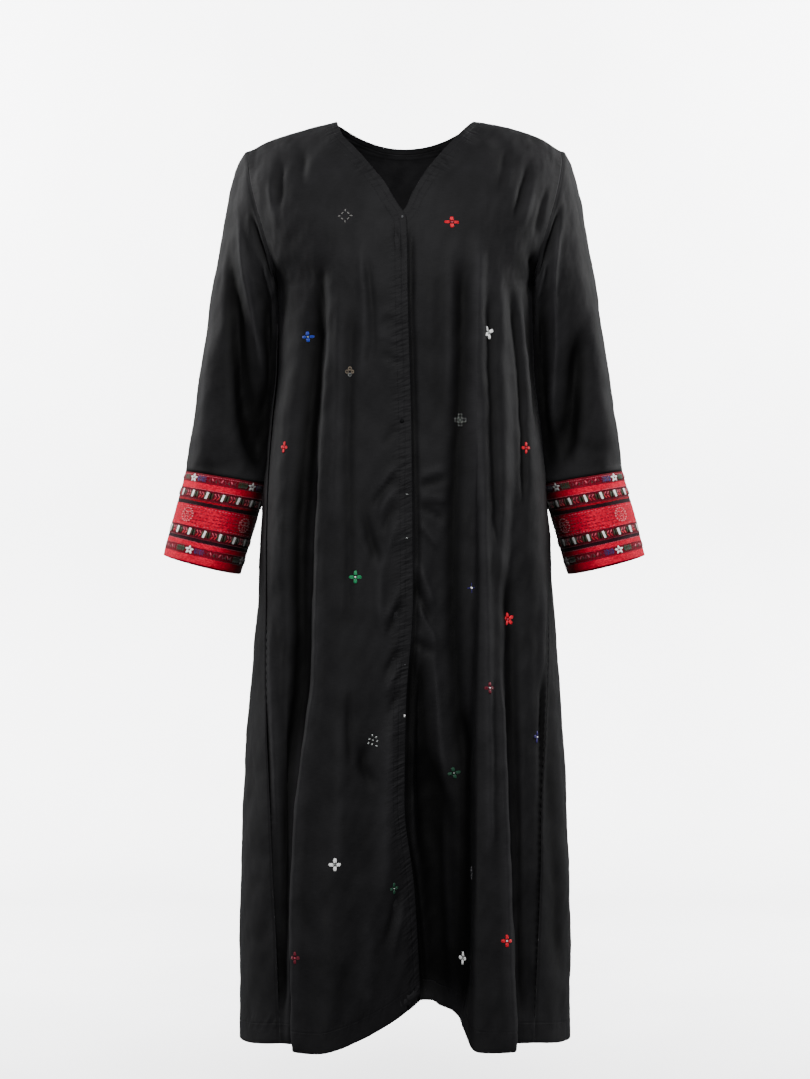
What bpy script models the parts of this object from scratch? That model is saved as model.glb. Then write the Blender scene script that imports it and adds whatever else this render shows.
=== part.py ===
"""A long open-front abaya, hollow as worn: two lapped fronts with a V neck, a back, set-in sleeves,
deep embroidered cuff bands, and the press studs that hold the fronts closed.

Metres, +Z up. The front faces -Y, and the wearer's right side is at -X. The origin is at the neck
points of the shoulder seams, on the centre plane. A place on the body is given by two numbers:
down, the distance below the shoulder seam, and a turn round the body from the centre front.
"""

import math
from collections import namedtuple

import bmesh
import bpy
import numpy as np
from mathutils import Vector

# Cloth and seams
WALL = 0.002
CUFF_WALL = 0.0025
SEAM_GAP = 0.0003
# Step for slopes worked out by difference, as a share of a sheet or in metres
NUDGE = 1e-4
# The outer share of a panel in which its wall's direction turns to that of its neighbour
EDGE_BLEND = 0.05
# A wall lying flatter than this gets no relief, because it has no sideways direction
FLATTEST = 0.05

# Lengths, measured down from the neck points of the shoulder seams
LENGTH = 1.345
ARMPIT = 0.252
NECK_HALF = 0.101
TIP_HALF = 0.232
SHOULDER_DROP = 0.039
SHOULDER_ROUNDING = 0.06
SHOULDER_FULLNESS = {-1: 0.0015, 1: 0.0060}
BACK_NECK_DROP = 0.047
BACK_NECK_FADE = 0.12
HEM_RISE_START = 0.85

# The front edges
UNDERLAP = 0.030
LAP_RUN_IN = 0.03

# Rows and columns of the walls
ARMHOLE_STEPS = 13
ROWS_BELOW_ARMPIT = (0.31, 0.38, 0.45, 0.52, 0.59, 0.66, 0.74, 0.82, 0.90, 0.98, 1.06, 1.14, 1.21, 1.28)
COLUMNS_PER_FOLD = {"front_right": 4, "front_left": 3, "back": 3}
SLEEVE_RUN = (0.08, 0.18, 0.29, 0.41, 0.53, 0.65, 0.77, 0.89, 1.0)
CUFF_STEPS = 3

# The body's section is an oval, a little squarer than an ellipse
SQUARENESS = 2.4

Level = namedtuple("Level", "down half_width front_depth back_depth side_y")
LEVELS = (
    Level(0.000, 0.2480, 0.000, 0.000, 0.000),
    Level(0.010, 0.2470, 0.030, 0.026, 0.000),
    Level(0.030, 0.2450, 0.055, 0.048, 0.000),
    Level(0.060, 0.2410, 0.081, 0.072, 0.000),
    Level(0.100, 0.2340, 0.105, 0.094, 0.000),
    Level(0.150, 0.2230, 0.125, 0.112, 0.000),
    Level(0.200, 0.2065, 0.135, 0.120, -0.002),
    Level(0.250, 0.1885, 0.139, 0.123, -0.005),
    Level(0.300, 0.1870, 0.137, 0.124, -0.008),
    Level(0.360, 0.1885, 0.132, 0.126, -0.012),
    Level(0.457, 0.1985, 0.123, 0.132, -0.020),
    Level(0.560, 0.2080, 0.123, 0.148, -0.024),
    Level(0.700, 0.2168, 0.125, 0.163, -0.025),
    Level(0.850, 0.2282, 0.134, 0.167, -0.023),
    Level(1.000, 0.2374, 0.145, 0.170, -0.020),
    Level(1.150, 0.2425, 0.158, 0.176, -0.017),
    Level(1.345, 0.2425, 0.170, 0.180, -0.015),
)

# The two edges of the V neck, as seen from the front
NeckPoint = namedtuple("NeckPoint", "z right_x left_x")
V_NECK = (
    NeckPoint(0.0000, -0.1010, 0.1010),
    NeckPoint(-0.0255, -0.0925, 0.0795),
    NeckPoint(-0.0462, -0.0755, 0.0624),
    NeckPoint(-0.0660, -0.0593, 0.0462),
    NeckPoint(-0.0852, -0.0446, 0.0316),
    NeckPoint(-0.1039, -0.0300, 0.0200),
    NeckPoint(-0.1224, -0.0195, 0.0097),
    NeckPoint(-0.1406, -0.0085, 0.0020),
    NeckPoint(-0.1560, 0.0010, -0.0120),
    NeckPoint(-0.1740, 0.0020, -0.0270),
)

# The free edge of the lapping front, and the side seams, in degrees from the centre front
EdgePoint = namedtuple("EdgePoint", "down lap right_seam left_seam")
EDGES = (
    EdgePoint(0.174, 0.6, 84.0, 84.0),
    EdgePoint(0.252, 0.9, 84.0, 84.0),
    EdgePoint(0.457, 2.4, 74.0, 75.0),
    EdgePoint(0.700, 2.8, 62.0, 67.0),
    EdgePoint(0.850, 0.2, 56.0, 58.0),
    EdgePoint(1.000, -0.3, 50.0, 51.0),
    EdgePoint(1.160, 3.2, 46.5, 48.5),
    EdgePoint(1.345, 5.6, 45.0, 47.0),
)

# The armholes, in degrees from the centre front and from the centre back
ArmholePoint = namedtuple("ArmholePoint", "down front back")
ARMHOLE = (
    ArmholePoint(0.000, 64.0, 64.0),
    ArmholePoint(0.050, 64.0, 64.0),
    ArmholePoint(0.100, 63.5, 63.0),
    ArmholePoint(0.150, 63.0, 62.5),
    ArmholePoint(0.190, 64.5, 66.0),
    ArmholePoint(0.220, 69.0, 73.0),
    ArmholePoint(0.240, 76.0, 84.0),
    ArmholePoint(ARMPIT, 84.0, 96.0),
)

# The fold lines of each panel, from its inner edge to its outer one, at each height of FOLD_DOWNS.
# turn is the line's place round the body in degrees: on the fronts from the centre front outwards, on the
# back from the centre back, negative on the wearer's right. The first and last lines are the panel's edges,
# so they have none. relief is the line's height over the plain oval, and rise how far the hem lifts there,
# both in millimetres.
FOLD_DOWNS = (0.0, 0.14, 0.25, 0.457, 0.70, 1.00, 1.345)
Fold = namedtuple("Fold", "name turn relief rise")
FRONT_RIGHT_FOLDS = (
    Fold("lap_edge", None, (0, 0, 0, 0, -4, -25, -75), 74),
    Fold("lap_fall", (30, 12, 14, 12, 10, 12.5, 7), (0, 0, 0, 0, 1, -8, -40), 42),
    Fold("lobe_crest", (37, 25, 27.5, 24, 23, 25, 27), (0, 0, 1, 4, 10, 16, 22), 15),
    Fold("lobe_edge", (44, 36, 39, 38, 36, 37, 38), (0, 0, 2, 8, 12, 16, 16), 15),
    Fold("lobe_valley", (51, 45, 48, 45, 41, 41, 42.5), (0, 0, -2, -11, -20, -24, -22), 20),
    Fold("side", (57.5, 54, 66, 60, 52, 46.5, 44), (0, 0, 0, 0, 1, -3, -12), 20),
    Fold("side_seam", None, (0, 0, 0, 0, 0, 0, -8), 19),
)
FRONT_LEFT_FOLDS = (
    Fold("under_edge", None, (0, -5.4, -5.4, -5.4, -9, -30, -82), 72),
    Fold("under_lap", (28, 5, 3, 5.5, 5.5, 2.5, 8), (0, -5, -5.4, -5.4, -8.5, -31, -84), 73),
    Fold("recess", (33, 14, 14, 14, 13, 10, 13), (0, 0, 0, -3, -14, -42, -80), 66),
    Fold("band_base", (38.5, 27, 30, 29, 25.5, 21.4, 19), (0, 0, 0, -2, -8, -24, -44), 60),
    Fold("band_inner", (43.5, 32, 34, 32.5, 28, 23.5, 21.5), (0, 0, 1, 3, 8, 14, 20), 19),
    Fold("band_outer", (48.5, 40, 43, 40, 34.5, 32.5, 36), (0, 0, 1, 3, 8, 12, 18), 15),
    Fold("outer_valley", (53.5, 47, 51, 48, 41.5, 37.5, 39.5), (0, 0, -1, -5, -9, -12, -16), 21),
    Fold("side", (58.8, 55, 68, 61, 54, 44.5, 43.5), (0, 0, 0, 1, 3, -2, -10), 21),
    Fold("side_seam", None, (0, 0, 0, 0, 0, 0, -8), 19),
)
BACK_FOLDS = (
    Fold("right_seam", None, (0, 0, 0, 0, 0, 0, -8), 19),
    Fold("right_front_side", (-60, -59, -92, -98, -104, -110, -112), (0, 0, 0, 0, -1, -3, -6), 9),
    Fold("right_side", (-56, -54, -86, -89, -91, -89, -89), (0, 0, 0, 0, 0, 0, 0), 5),
    Fold("right_outer_valley", (-48, -46, -70, -72, -74, -72, -70), (0, 0, 0, -3, -8, -15, -22), 4),
    Fold("right_outer_crest", (-36, -36, -54, -56, -58, -56, -54), (0, 0, 0, 2, 6, 11, 16), 4),
    Fold("right_valley", (-23.2, -26, -38, -41, -43, -40, -38), (0, 0, -2, -6, -12, -19, -26), 8),
    Fold("right_crest", (-15, -17, -25, -27, -27, -24, -22), (0, 0, 1, 4, 8, 13, 18), 10),
    Fold("centre_right_valley", (-7.5, -8.5, -12, -13, -13, -9.5, -8), (0, 0, -1, -4, -10, -16, -22), 22),
    Fold("centre_crest", (0, 0, 0, 0, 1, 4, 5), (0, 0, 0, 2, 5, 9, 14), 24),
    Fold("centre_left_valley", (7.5, 8.5, 12, 14, 16, 19, 22), (0, 0, -1, -5, -9, -14, -20), 20),
    Fold("left_crest", (15, 17, 25, 29, 32, 35, 37), (0, 0, 1, 3, 8, 14, 20), 10),
    Fold("left_valley", (23.2, 26, 39, 42, 45, 49, 51), (0, 0, -2, -5, -12, -18, -24), 8),
    Fold("left_outer_crest", (36, 36, 54, 57, 60, 63, 64), (0, 0, 0, 2, 6, 10, 14), 4),
    Fold("left_outer_valley", (48, 46, 71, 74, 76, 76, 76), (0, 0, 0, -3, -7, -13, -19), 4),
    Fold("left_side", (56, 54, 86, 90, 91, 90, 90), (0, 0, 0, 0, 0, 0, 0), 5),
    Fold("left_front_side", (60, 59, 92, 99, 105, 109, 111), (0, 0, 0, 0, -1, -3, -6), 9),
    Fold("left_seam", None, (0, 0, 0, 0, 0, 0, -8), 19),
)
# A fold line keeps this far, in degrees, from an armhole or neck edge before it starts to bend along it
EDGE_MARGIN = 16

# The cuffs: each end is given as the centre and half width of an oval square to the arm
CuffEnd = namedtuple("CuffEnd", "x y z half_width half_depth")
CUFF_TOP = CuffEnd(0.2632, 0.030, -0.5225, 0.0625, 0.0560)
CUFF_BOTTOM = CuffEnd(0.2985, 0.022, -0.6495, 0.0590, 0.0560)
ARMS_SHIFT = -0.0012

# The sleeves: the bend where they leave the armhole, then the two handles of the curve to the cuff.
# The armhole's handle is longest where the sleeve leaves straight, and the cuff's leans inwards by its slant.
BEND_RADIUS = 0.003
SHORTEST_BEND = 0.005
SHARPEST_BEND = 150
BEND_SHARE = 0.1
BEND_STEPS = 3
CAP_SPREAD = 0.35
LONGEST_HANDLE = 0.020
SHORTEST_HANDLE = 0.006
HANDLE_FADE_BEND = 120
HANDLE_FADE_POWER = 1.5
CUFF_HANDLE = 0.15
OUTER_SLANT = 0.13
INNER_SLANT = 0.12

# Folds of a sleeve: turn is from the outer side of the arm towards the front, in degrees, and relief
# in millimetres at the armhole, elbow and cuff. They fade out over the last share before the cuff.
SLEEVE_FOLD_FADE = 0.1
SleeveFold = namedtuple("SleeveFold", "name turn spread relief")
SLEEVE_FOLDS = (
    SleeveFold("front_valley", 118, 20, (0, -7, -2)),
    SleeveFold("inner_ridge", 148, 18, (0, 6, 3)),
    SleeveFold("back_valley", 245, 24, (0, -5, -2)),
)

# Closed press studs, between the fronts: height below the shoulder seam, and distance in from the lap edge
Stud = namedtuple("Stud", "name down inset")
STUDS = (
    Stud("press_stud_1", 0.181, 0.009),
    Stud("press_stud_2", 0.446, 0.011),
    Stud("press_stud_3", 0.551, 0.009),
    Stud("press_stud_4", 0.614, 0.009),
    Stud("press_stud_5", 0.797, 0.007),
    Stud("press_stud_6", 0.870, 0.005),
)
STUD_RADIUS = 0.0042
STUD_THICKNESS = 0.0026
STUD_SIDES = 16
STUD_GAP = 0.0004
STUD_BEVEL = 0.0008
STUD_SEARCH_STEPS = 801

SHARP_ANGLE = 40
CLOTH_ROUGHNESS = 0.72
CUFF_ROUGHNESS = 0.8
METAL_ROUGHNESS = 0.35

# Linear colours
BLACK_CLOTH = (0.0090, 0.0090, 0.0105)
CUFF_RED = (0.4200, 0.0100, 0.0160)
STUD_METAL = (0.6200, 0.6200, 0.6000)


def smooth(knots, values, at):
    """A curve through the knots that turns only where they do; at may be an array."""
    knots = np.asarray(knots, float)
    values = np.asarray(values, float)
    steps = np.diff(knots)
    slopes = np.diff(values) / steps
    tangents = np.zeros(len(knots))
    tangents[0] = slopes[0]
    tangents[-1] = slopes[-1]
    for i in range(1, len(knots) - 1):
        if slopes[i - 1] * slopes[i] > 0:
            before = 2 * steps[i] + steps[i - 1]
            after = steps[i] + 2 * steps[i - 1]
            tangents[i] = (before + after) / (before / slopes[i - 1] + after / slopes[i])
    at = np.clip(np.asarray(at, float), knots[0], knots[-1])
    cell = np.clip(np.searchsorted(knots, at) - 1, 0, len(steps) - 1)
    width = steps[cell]
    t = (at - knots[cell]) / width
    return (
        values[cell] * (2 * t**3 - 3 * t**2 + 1)
        + tangents[cell] * width * (t**3 - 2 * t**2 + t)
        + values[cell + 1] * (3 * t**2 - 2 * t**3)
        + tangents[cell + 1] * width * (t**3 - t**2)
    )


def ease(at):
    at = np.clip(at, 0.0, 1.0)
    return at * at * (3 - 2 * at)


def unit(vectors):
    return vectors / np.linalg.norm(vectors, axis=-1, keepdims=True)


def column(rows, name):
    return [getattr(row, name) for row in rows]


def level_value(name, down):
    """A column of LEVELS at this height. It runs over the root of down, so the shoulder rounds over."""
    roots = np.sqrt(column(LEVELS, "down"))
    return smooth(roots, column(LEVELS, name), np.sqrt(np.maximum(down, 0.0)))


def shoulder_lift(x, down):
    """How far the shoulder's slope lowers a point: nothing at the neck point, nor below the armpit."""

    def reach(half):
        return np.sqrt(half * half + SHOULDER_ROUNDING**2)

    slope = (reach(x) - reach(NECK_HALF)) / (reach(TIP_HALF) - reach(NECK_HALF))
    along = np.clip((np.abs(x) - NECK_HALF) / (TIP_HALF - NECK_HALF), 0.0, 1.0)
    fullness = np.where(np.asarray(x) < 0, SHOULDER_FULLNESS[-1], SHOULDER_FULLNESS[1])
    return (SHOULDER_DROP * slope - fullness * np.sin(math.pi * along)) * (1 - ease(down / ARMPIT))


def section_x(angle, down):
    s = np.sin(angle)
    c = np.cos(angle)
    scale = (np.abs(s) ** SQUARENESS + np.abs(c) ** SQUARENESS) ** (-1 / SQUARENESS)
    return level_value("half_width", down) * s * scale


def body_point(angle, down):
    """Point of the plain oval body at a turn from the centre front, in radians towards +X."""
    angle = np.asarray(angle, float)
    down = np.asarray(down, float) + 0 * angle
    s = np.sin(angle)
    c = np.cos(angle)
    scale = (np.abs(s) ** SQUARENESS + np.abs(c) ** SQUARENESS) ** (-1 / SQUARENESS)
    depth = np.where(c > 0, level_value("front_depth", down), level_value("back_depth", down))
    x = level_value("half_width", down) * s * scale
    y = level_value("side_y", down) - depth * c * scale
    z = -down - shoulder_lift(x, down)
    return np.stack([x, y, z], axis=-1)


def body_normal(angle, down):
    """Outward normal of the plain oval body. At the shoulder seam, where the oval closes, it is upwards."""
    angle = np.asarray(angle, float)
    down = np.asarray(down, float) + 0 * angle
    step = 1e-6
    round_body = body_point(angle + 1e-5, down + step) - body_point(angle - 1e-5, down + step)
    down_body = body_point(angle, down + step) - body_point(angle, np.maximum(down - step, 0.0))
    normal = unit(np.cross(down_body, round_body))
    slope = np.sign(np.sin(angle)) * SHOULDER_DROP / (TIP_HALF - NECK_HALF)
    seam = unit(np.stack([slope, 0 * down, 1 + 0 * down], axis=-1))
    return np.where((down < 1e-6)[..., None], seam, normal)


def angle_at(x, down):
    """Turn, in radians, at which the front of the oval has this x."""
    share = np.clip(np.abs(x) / level_value("half_width", down), 0.0, 1.0)
    forward = (1 - share**SQUARENESS) ** (1 / SQUARENESS)
    return np.sign(x) * np.arctan2(share, forward)


def down_at(x, z):
    down = -z
    for _ in range(20):
        down = -z - shoulder_lift(x, down)
    return down


def neck_angle(side, down):
    """Turn of the V neck's edge, and below it of the front's free edge."""
    x_name = "right_x" if side < 0 else "left_x"
    downs = [max(0.0, float(down_at(getattr(point, x_name), point.z))) for point in V_NECK]
    downs[0] = 0.0
    if down <= downs[-1]:
        return float(angle_at(smooth(downs, column(V_NECK, x_name), down), down))
    lap = math.radians(float(smooth(column(EDGES, "down"), column(EDGES, "lap"), down)))
    if side < 0:
        blend = float(ease((down - downs[-1]) / LAP_RUN_IN))
        end = float(angle_at(V_NECK[-1].right_x, down))
        return end + (lap - end) * blend
    x = float(section_x(lap, down)) - UNDERLAP
    return float(angle_at(x, down))


def armhole_angle(down, half):
    """Turn of the armhole's edge from the centre front, on the front half or the back half."""
    reach = np.sqrt(np.maximum(ARMPIT - np.asarray(column(ARMHOLE, "down")), 0.0))[::-1]
    at = np.sqrt(np.maximum(ARMPIT - np.asarray(down, float), 0.0))
    turn = smooth(reach, column(ARMHOLE, half)[::-1], at)
    return np.radians(turn if half == "front" else 180.0 - turn)


def seam_angle(side, down, half):
    """Turn of a panel's outer edge: the armhole, and below it the side seam. Positive on both sides."""
    if down <= ARMPIT:
        return float(armhole_angle(down, half))
    name = "right_seam" if side < 0 else "left_seam"
    return math.radians(float(smooth(column(EDGES, "down"), column(EDGES, name), down)))


def front_edges(side, down):
    """Inner and outer turn of a front panel, in radians."""
    return neck_angle(side, down), side * seam_angle(side, down, "front")


def back_edges(down):
    """Turn of the back's two edges, from the wearer's right round the back to the left."""
    right = -seam_angle(-1, down, "back")
    left = seam_angle(1, down, "back") - 2 * math.pi
    return right, left


def back_neck(x, down):
    """How much lower the back's rows start, below its curved neck."""
    inside = np.clip(1 - (np.abs(x) / NECK_HALF) ** 2, 0.0, 1.0)
    return BACK_NECK_DROP * inside * np.clip(1 - down / BACK_NECK_FADE, 0.0, 1.0)


def keep_between(place, low, high):
    """Bends a place softly to stay between two edges."""
    margin = min(EDGE_MARGIN, (high - low) / 3)
    if place > high - margin:
        return high - margin * math.exp(-(place - high + margin) / margin)
    if place < low + margin:
        return low + margin * math.exp((place - low - margin) / margin)
    return place


def fold_angles(piece, down):
    """Turns of a panel's fold lines at this height, in radians from the centre front."""
    inner, outer = piece.edges(down)
    low, high = sorted((piece.to_turn(inner), piece.to_turn(outer)))
    angles = [inner]
    for fold in piece.folds[1:-1]:
        turn = keep_between(float(smooth(FOLD_DOWNS, fold.turn, down)), low, high)
        angles.append(piece.to_angle(turn))
    return angles + [outer]


# A panel of the body: its edges and fold lines, and how a fold line's degrees become radians from the
# centre front and back again
Piece = namedtuple("Piece", "name folds edges to_angle to_turn with_neck")


def front_piece(name, side, folds):
    return Piece(
        name,
        folds,
        lambda down: front_edges(side, down),
        lambda turn: side * math.radians(turn),
        lambda angle: side * math.degrees(angle),
        False,
    )


def back_piece():
    return Piece(
        "back",
        BACK_FOLDS,
        back_edges,
        lambda turn: -math.pi - math.radians(turn),
        lambda angle: -180 - math.degrees(angle),
        True,
    )


def panel_row(piece, down, across):
    """Points of a panel at one height, and the wall's direction at its edges, as its neighbours have it."""
    places = np.linspace(0.0, 1.0, len(piece.folds))
    reliefs = [float(smooth(FOLD_DOWNS, fold.relief, down)) / 1000 for fold in piece.folds]
    rises = np.array(column(piece.folds, "rise")) / 1000
    angle = smooth(places, fold_angles(piece, down), across)
    relief = smooth(places, reliefs, across)
    lift = ease((down - HEM_RISE_START) / (LENGTH - HEM_RISE_START))
    lowered = down - smooth(places, rises, across) * lift
    if piece.with_neck:
        lowered = lowered + back_neck(section_x(angle, down), down)
    plain = body_point(angle, lowered)
    normal = body_normal(angle, lowered)
    sideways = normal.copy()
    sideways[:, 2] = 0.0
    flat = np.linalg.norm(sideways, axis=1, keepdims=True)
    sideways = np.where(flat > FLATTEST, sideways / np.maximum(flat, FLATTEST), 0.0)
    return plain + sideways * relief[:, None], normal


def panel_walls(piece, downs):
    """Outer and inner points of a panel, as arrays of rows and columns."""
    columns = (len(piece.folds) - 1) * COLUMNS_PER_FOLD[piece.name]
    across = np.linspace(0.0, 1.0, columns + 1)
    outer = []
    inner = []
    for down in downs:
        points, edge_normal = panel_row(piece, down, across)
        above = panel_row(piece, max(down - NUDGE, 0.0), across)[0]
        below = panel_row(piece, min(down + NUDGE, LENGTH), across)[0]
        before = panel_row(piece, down, np.maximum(across - NUDGE, 0.0))[0]
        after = panel_row(piece, down, np.minimum(across + NUDGE, 1.0))[0]
        true_normal = unit(np.cross(after - before, below - above))
        true_normal *= np.sign(np.sum(true_normal * edge_normal, axis=1))[:, None]
        near_edge = ease(1 - np.minimum(across, 1 - across) / EDGE_BLEND)
        if down == 0:
            near_edge = np.ones(len(across))
        near_edge = near_edge[:, None]
        normal = unit(true_normal * (1 - near_edge) + edge_normal * near_edge)
        outer.append(points)
        inner.append(points - normal * WALL)
    return np.array(outer), np.array(inner)


def body_rows():
    """Heights of the body's rows. Those of the armhole are closer at its ends, like steps round a circle."""
    armhole = [ARMPIT * (1 - math.cos(math.pi * i / ARMHOLE_STEPS)) / 2 for i in range(ARMHOLE_STEPS)]
    return armhole + [ARMPIT, *ROWS_BELOW_ARMPIT, LENGTH]


def part_at_seams(outer, inner, downs, half):
    """Moves a panel's shoulder and side seams back by half the gap."""
    shift = SEAM_GAP / 2
    forward = -1.0 if half == "front" else 1.0
    for points in (outer, inner):
        points[0, :, 1] += forward * shift
        for row, down in enumerate(downs):
            if down < ARMPIT:
                continue
            columns = (-1,) if half == "front" else (0, -1)
            for edge in columns:
                beside = 1 if edge == 0 else -2
                away = unit(outer[row, beside] - outer[row, edge])
                points[row, edge] += away * shift


def armhole_point(side, turn, step=0.0):
    """Point of the armhole at a turn round the sleeve, from the shoulder tip by the front to the armpit."""
    turn = np.asarray(turn, float) + step
    on_front = np.sin(turn) >= 0
    down = ARMPIT * (1 - np.cos(turn)) / 2
    angle = side * np.where(on_front, armhole_angle(down, "front"), armhole_angle(down, "back"))
    return body_point(angle, down), body_normal(angle, down)


def cuff_oval(end, side, turn):
    """Point of an oval at a cuff's end, square to the line from the cuff's top to its bottom."""
    lean = math.atan2(CUFF_BOTTOM.x - CUFF_TOP.x, CUFF_TOP.z - CUFF_BOTTOM.z)
    sideways = np.cos(turn) * end.half_width
    x = side * (end.x + sideways * math.cos(lean)) + ARMS_SHIFT
    y = end.y - np.sin(turn) * end.half_depth
    z = end.z + sideways * math.sin(lean)
    return np.stack([x, y + 0 * x, z], axis=-1)


def arm_direction(side):
    return unit(np.array([side * (CUFF_BOTTOM.x - CUFF_TOP.x), 0.0, CUFF_BOTTOM.z - CUFF_TOP.z]))


def sleeve_point(side, turn, along):
    """Point of a sleeve: it leaves the body at the armhole, turns towards the arm, and runs to the cuff."""
    turn = np.asarray(turn, float)
    start, normal = armhole_point(side, turn)
    edge = armhole_point(side, turn, NUDGE)[0] - armhole_point(side, turn, -NUDGE)[0]
    leave = unit(np.cross(edge, normal)) * -side
    start = start + leave * SEAM_GAP
    arm = arm_direction(side)
    target = arm + np.array([side * CAP_SPREAD, 0.0, 0.0])
    bend = np.arctan2(normal @ target, leave @ target)
    bend = np.clip(bend, NUDGE, math.radians(SHARPEST_BEND))[:, None]
    length = np.maximum(bend * BEND_RADIUS, SHORTEST_BEND)

    def on_bend(part):
        a = bend * part
        return start + length / bend * (leave * np.sin(a) + normal * (1 - np.cos(a)))

    if along <= BEND_SHARE:
        return on_bend(along / BEND_SHARE)
    t = (along - BEND_SHARE) / (1 - BEND_SHARE)
    heading = leave * np.cos(bend) + normal * np.sin(bend)
    straightness = np.clip(1 - bend / math.radians(HANDLE_FADE_BEND), 0.0, 1.0) ** HANDLE_FADE_POWER
    handle = SHORTEST_HANDLE + (LONGEST_HANDLE - SHORTEST_HANDLE) * straightness
    p0 = on_bend(1.0)
    p1 = p0 + heading * handle
    p3 = cuff_oval(CUFF_TOP, side, turn)
    slant = INNER_SLANT + (OUTER_SLANT - INNER_SLANT) * (1 + np.cos(turn)) / 2
    upwards = np.stack([-side * slant, 0 * slant, 1 + 0 * slant], axis=-1)
    p2 = p3 + upwards * CUFF_HANDLE
    plain = p0 * (1 - t) ** 3 + 3 * p1 * t * (1 - t) ** 2 + 3 * p2 * t * t * (1 - t) + p3 * t**3
    middle = np.mean(plain, axis=0)
    outward = unit(plain - middle)
    relief = 0
    for fold in SLEEVE_FOLDS:
        distance = (np.degrees(turn) - fold.turn + 180) % 360 - 180
        depth = float(smooth((0.0, 0.5, 1.0), fold.relief, t)) / 1000
        relief = relief + depth * np.exp(-((distance / fold.spread) ** 2))
    fade = 1 - ease((t - 1 + SLEEVE_FOLD_FADE) / SLEEVE_FOLD_FADE)
    return plain + outward * np.asarray(relief * fade)[:, None]


def tube_turns():
    """Turns of a sleeve's columns, one for each row of the armhole's front half and back half."""
    return np.array([math.pi * i / ARMHOLE_STEPS for i in range(2 * ARMHOLE_STEPS)])


def sleeve_walls(side):
    turns = tube_turns()
    bends = [BEND_SHARE * i / BEND_STEPS for i in range(BEND_STEPS + 1)]
    runs = [BEND_SHARE + (1 - BEND_SHARE) * run for run in SLEEVE_RUN]
    outer = []
    inner = []
    arm = arm_direction(side)
    for along in bends + runs:
        points = sleeve_point(side, turns, along)
        round_arm = sleeve_point(side, turns + NUDGE, along) - sleeve_point(side, turns - NUDGE, along)
        above = sleeve_point(side, turns, max(along - NUDGE, 0.0))
        below = sleeve_point(side, turns, min(along + NUDGE, 1.0))
        normal = unit(np.cross(round_arm, below - above)) * side
        if along == runs[-1]:
            # The wall's end is square to the arm, so it keeps its gap to the cuff
            normal = unit(normal - (normal @ arm)[:, None] * arm)
        outer.append(points)
        inner.append(points - normal * WALL)
    return np.array(outer), np.array(inner)


def cuff_walls(side):
    """A cuff's points: a band that continues the sleeve, a little thicker than it."""
    turns = tube_turns()
    arm = arm_direction(side)
    proud = (CUFF_WALL - WALL) / 2
    outer = []
    inner = []
    for step in range(CUFF_STEPS + 1):
        share = step / CUFF_STEPS
        end = CuffEnd(*[a + (b - a) * share for a, b in zip(CUFF_TOP, CUFF_BOTTOM)])
        wide = end._replace(half_width=end.half_width + proud, half_depth=end.half_depth + proud)
        narrow = end._replace(
            half_width=end.half_width + proud - CUFF_WALL, half_depth=end.half_depth + proud - CUFF_WALL
        )
        gap = arm * SEAM_GAP * (1 - share)
        outer.append(cuff_oval(wide, side, turns) + gap)
        inner.append(cuff_oval(narrow, side, turns) + gap)
    return np.array(outer), np.array(inner)


def principled(name, color, roughness, metallic=0.0):
    material = bpy.data.materials.new(name)
    material.use_nodes = True
    shader = material.node_tree.nodes["Principled BSDF"]
    shader.inputs["Base Color"].default_value = (*color, 1.0)
    shader.inputs["Roughness"].default_value = roughness
    shader.inputs["Metallic"].default_value = metallic
    material.diffuse_color = (*color, 1.0)
    return material


def add_object(name, bm, material):
    bmesh.ops.recalc_face_normals(bm, faces=bm.faces)
    mesh = bpy.data.meshes.new(name)
    bm.to_mesh(mesh)
    bm.free()
    mesh.shade_smooth()
    mesh.set_sharp_from_angle(angle=math.radians(SHARP_ANGLE))
    mesh.materials.append(material)
    obj = bpy.data.objects.new(name, mesh)
    bpy.context.scene.collection.objects.link(obj)
    return obj


def build_wall(name, outer, inner, material, tube=False):
    """A closed wall between two sheets of points. A tube's last column joins its first."""
    rows, columns = outer.shape[:2]
    bm = bmesh.new()
    sheets = [[[bm.verts.new(point) for point in row] for row in sheet] for sheet in (outer, inner)]
    spans = columns if tube else columns - 1
    for sheet, order in zip(sheets, (1, -1)):
        for i in range(rows - 1):
            for j in range(spans):
                k = (j + 1) % columns
                bm.faces.new([sheet[i][j], sheet[i + 1][j], sheet[i + 1][k]][::order])
                bm.faces.new([sheet[i][j], sheet[i + 1][k], sheet[i][k]][::order])
    front, back = sheets
    rims = []
    for i in (0, rows - 1):
        for j in range(spans):
            k = (j + 1) % columns
            rims.append((front[i][j], front[i][k], back[i][k], back[i][j]))
    if not tube:
        for j in (0, columns - 1):
            for i in range(rows - 1):
                rims.append((front[i][j], front[i + 1][j], back[i + 1][j], back[i][j]))
    for a, b, c, d in rims:
        bm.faces.new((a, b, c))
        bm.faces.new((a, c, d))
    return add_object(name, bm, material)


def build_panel(piece, material):
    downs = body_rows()
    outer, inner = panel_walls(piece, downs)
    part_at_seams(outer, inner, downs, "back" if piece.with_neck else "front")
    return build_wall(piece.name, outer, inner, material)


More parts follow.
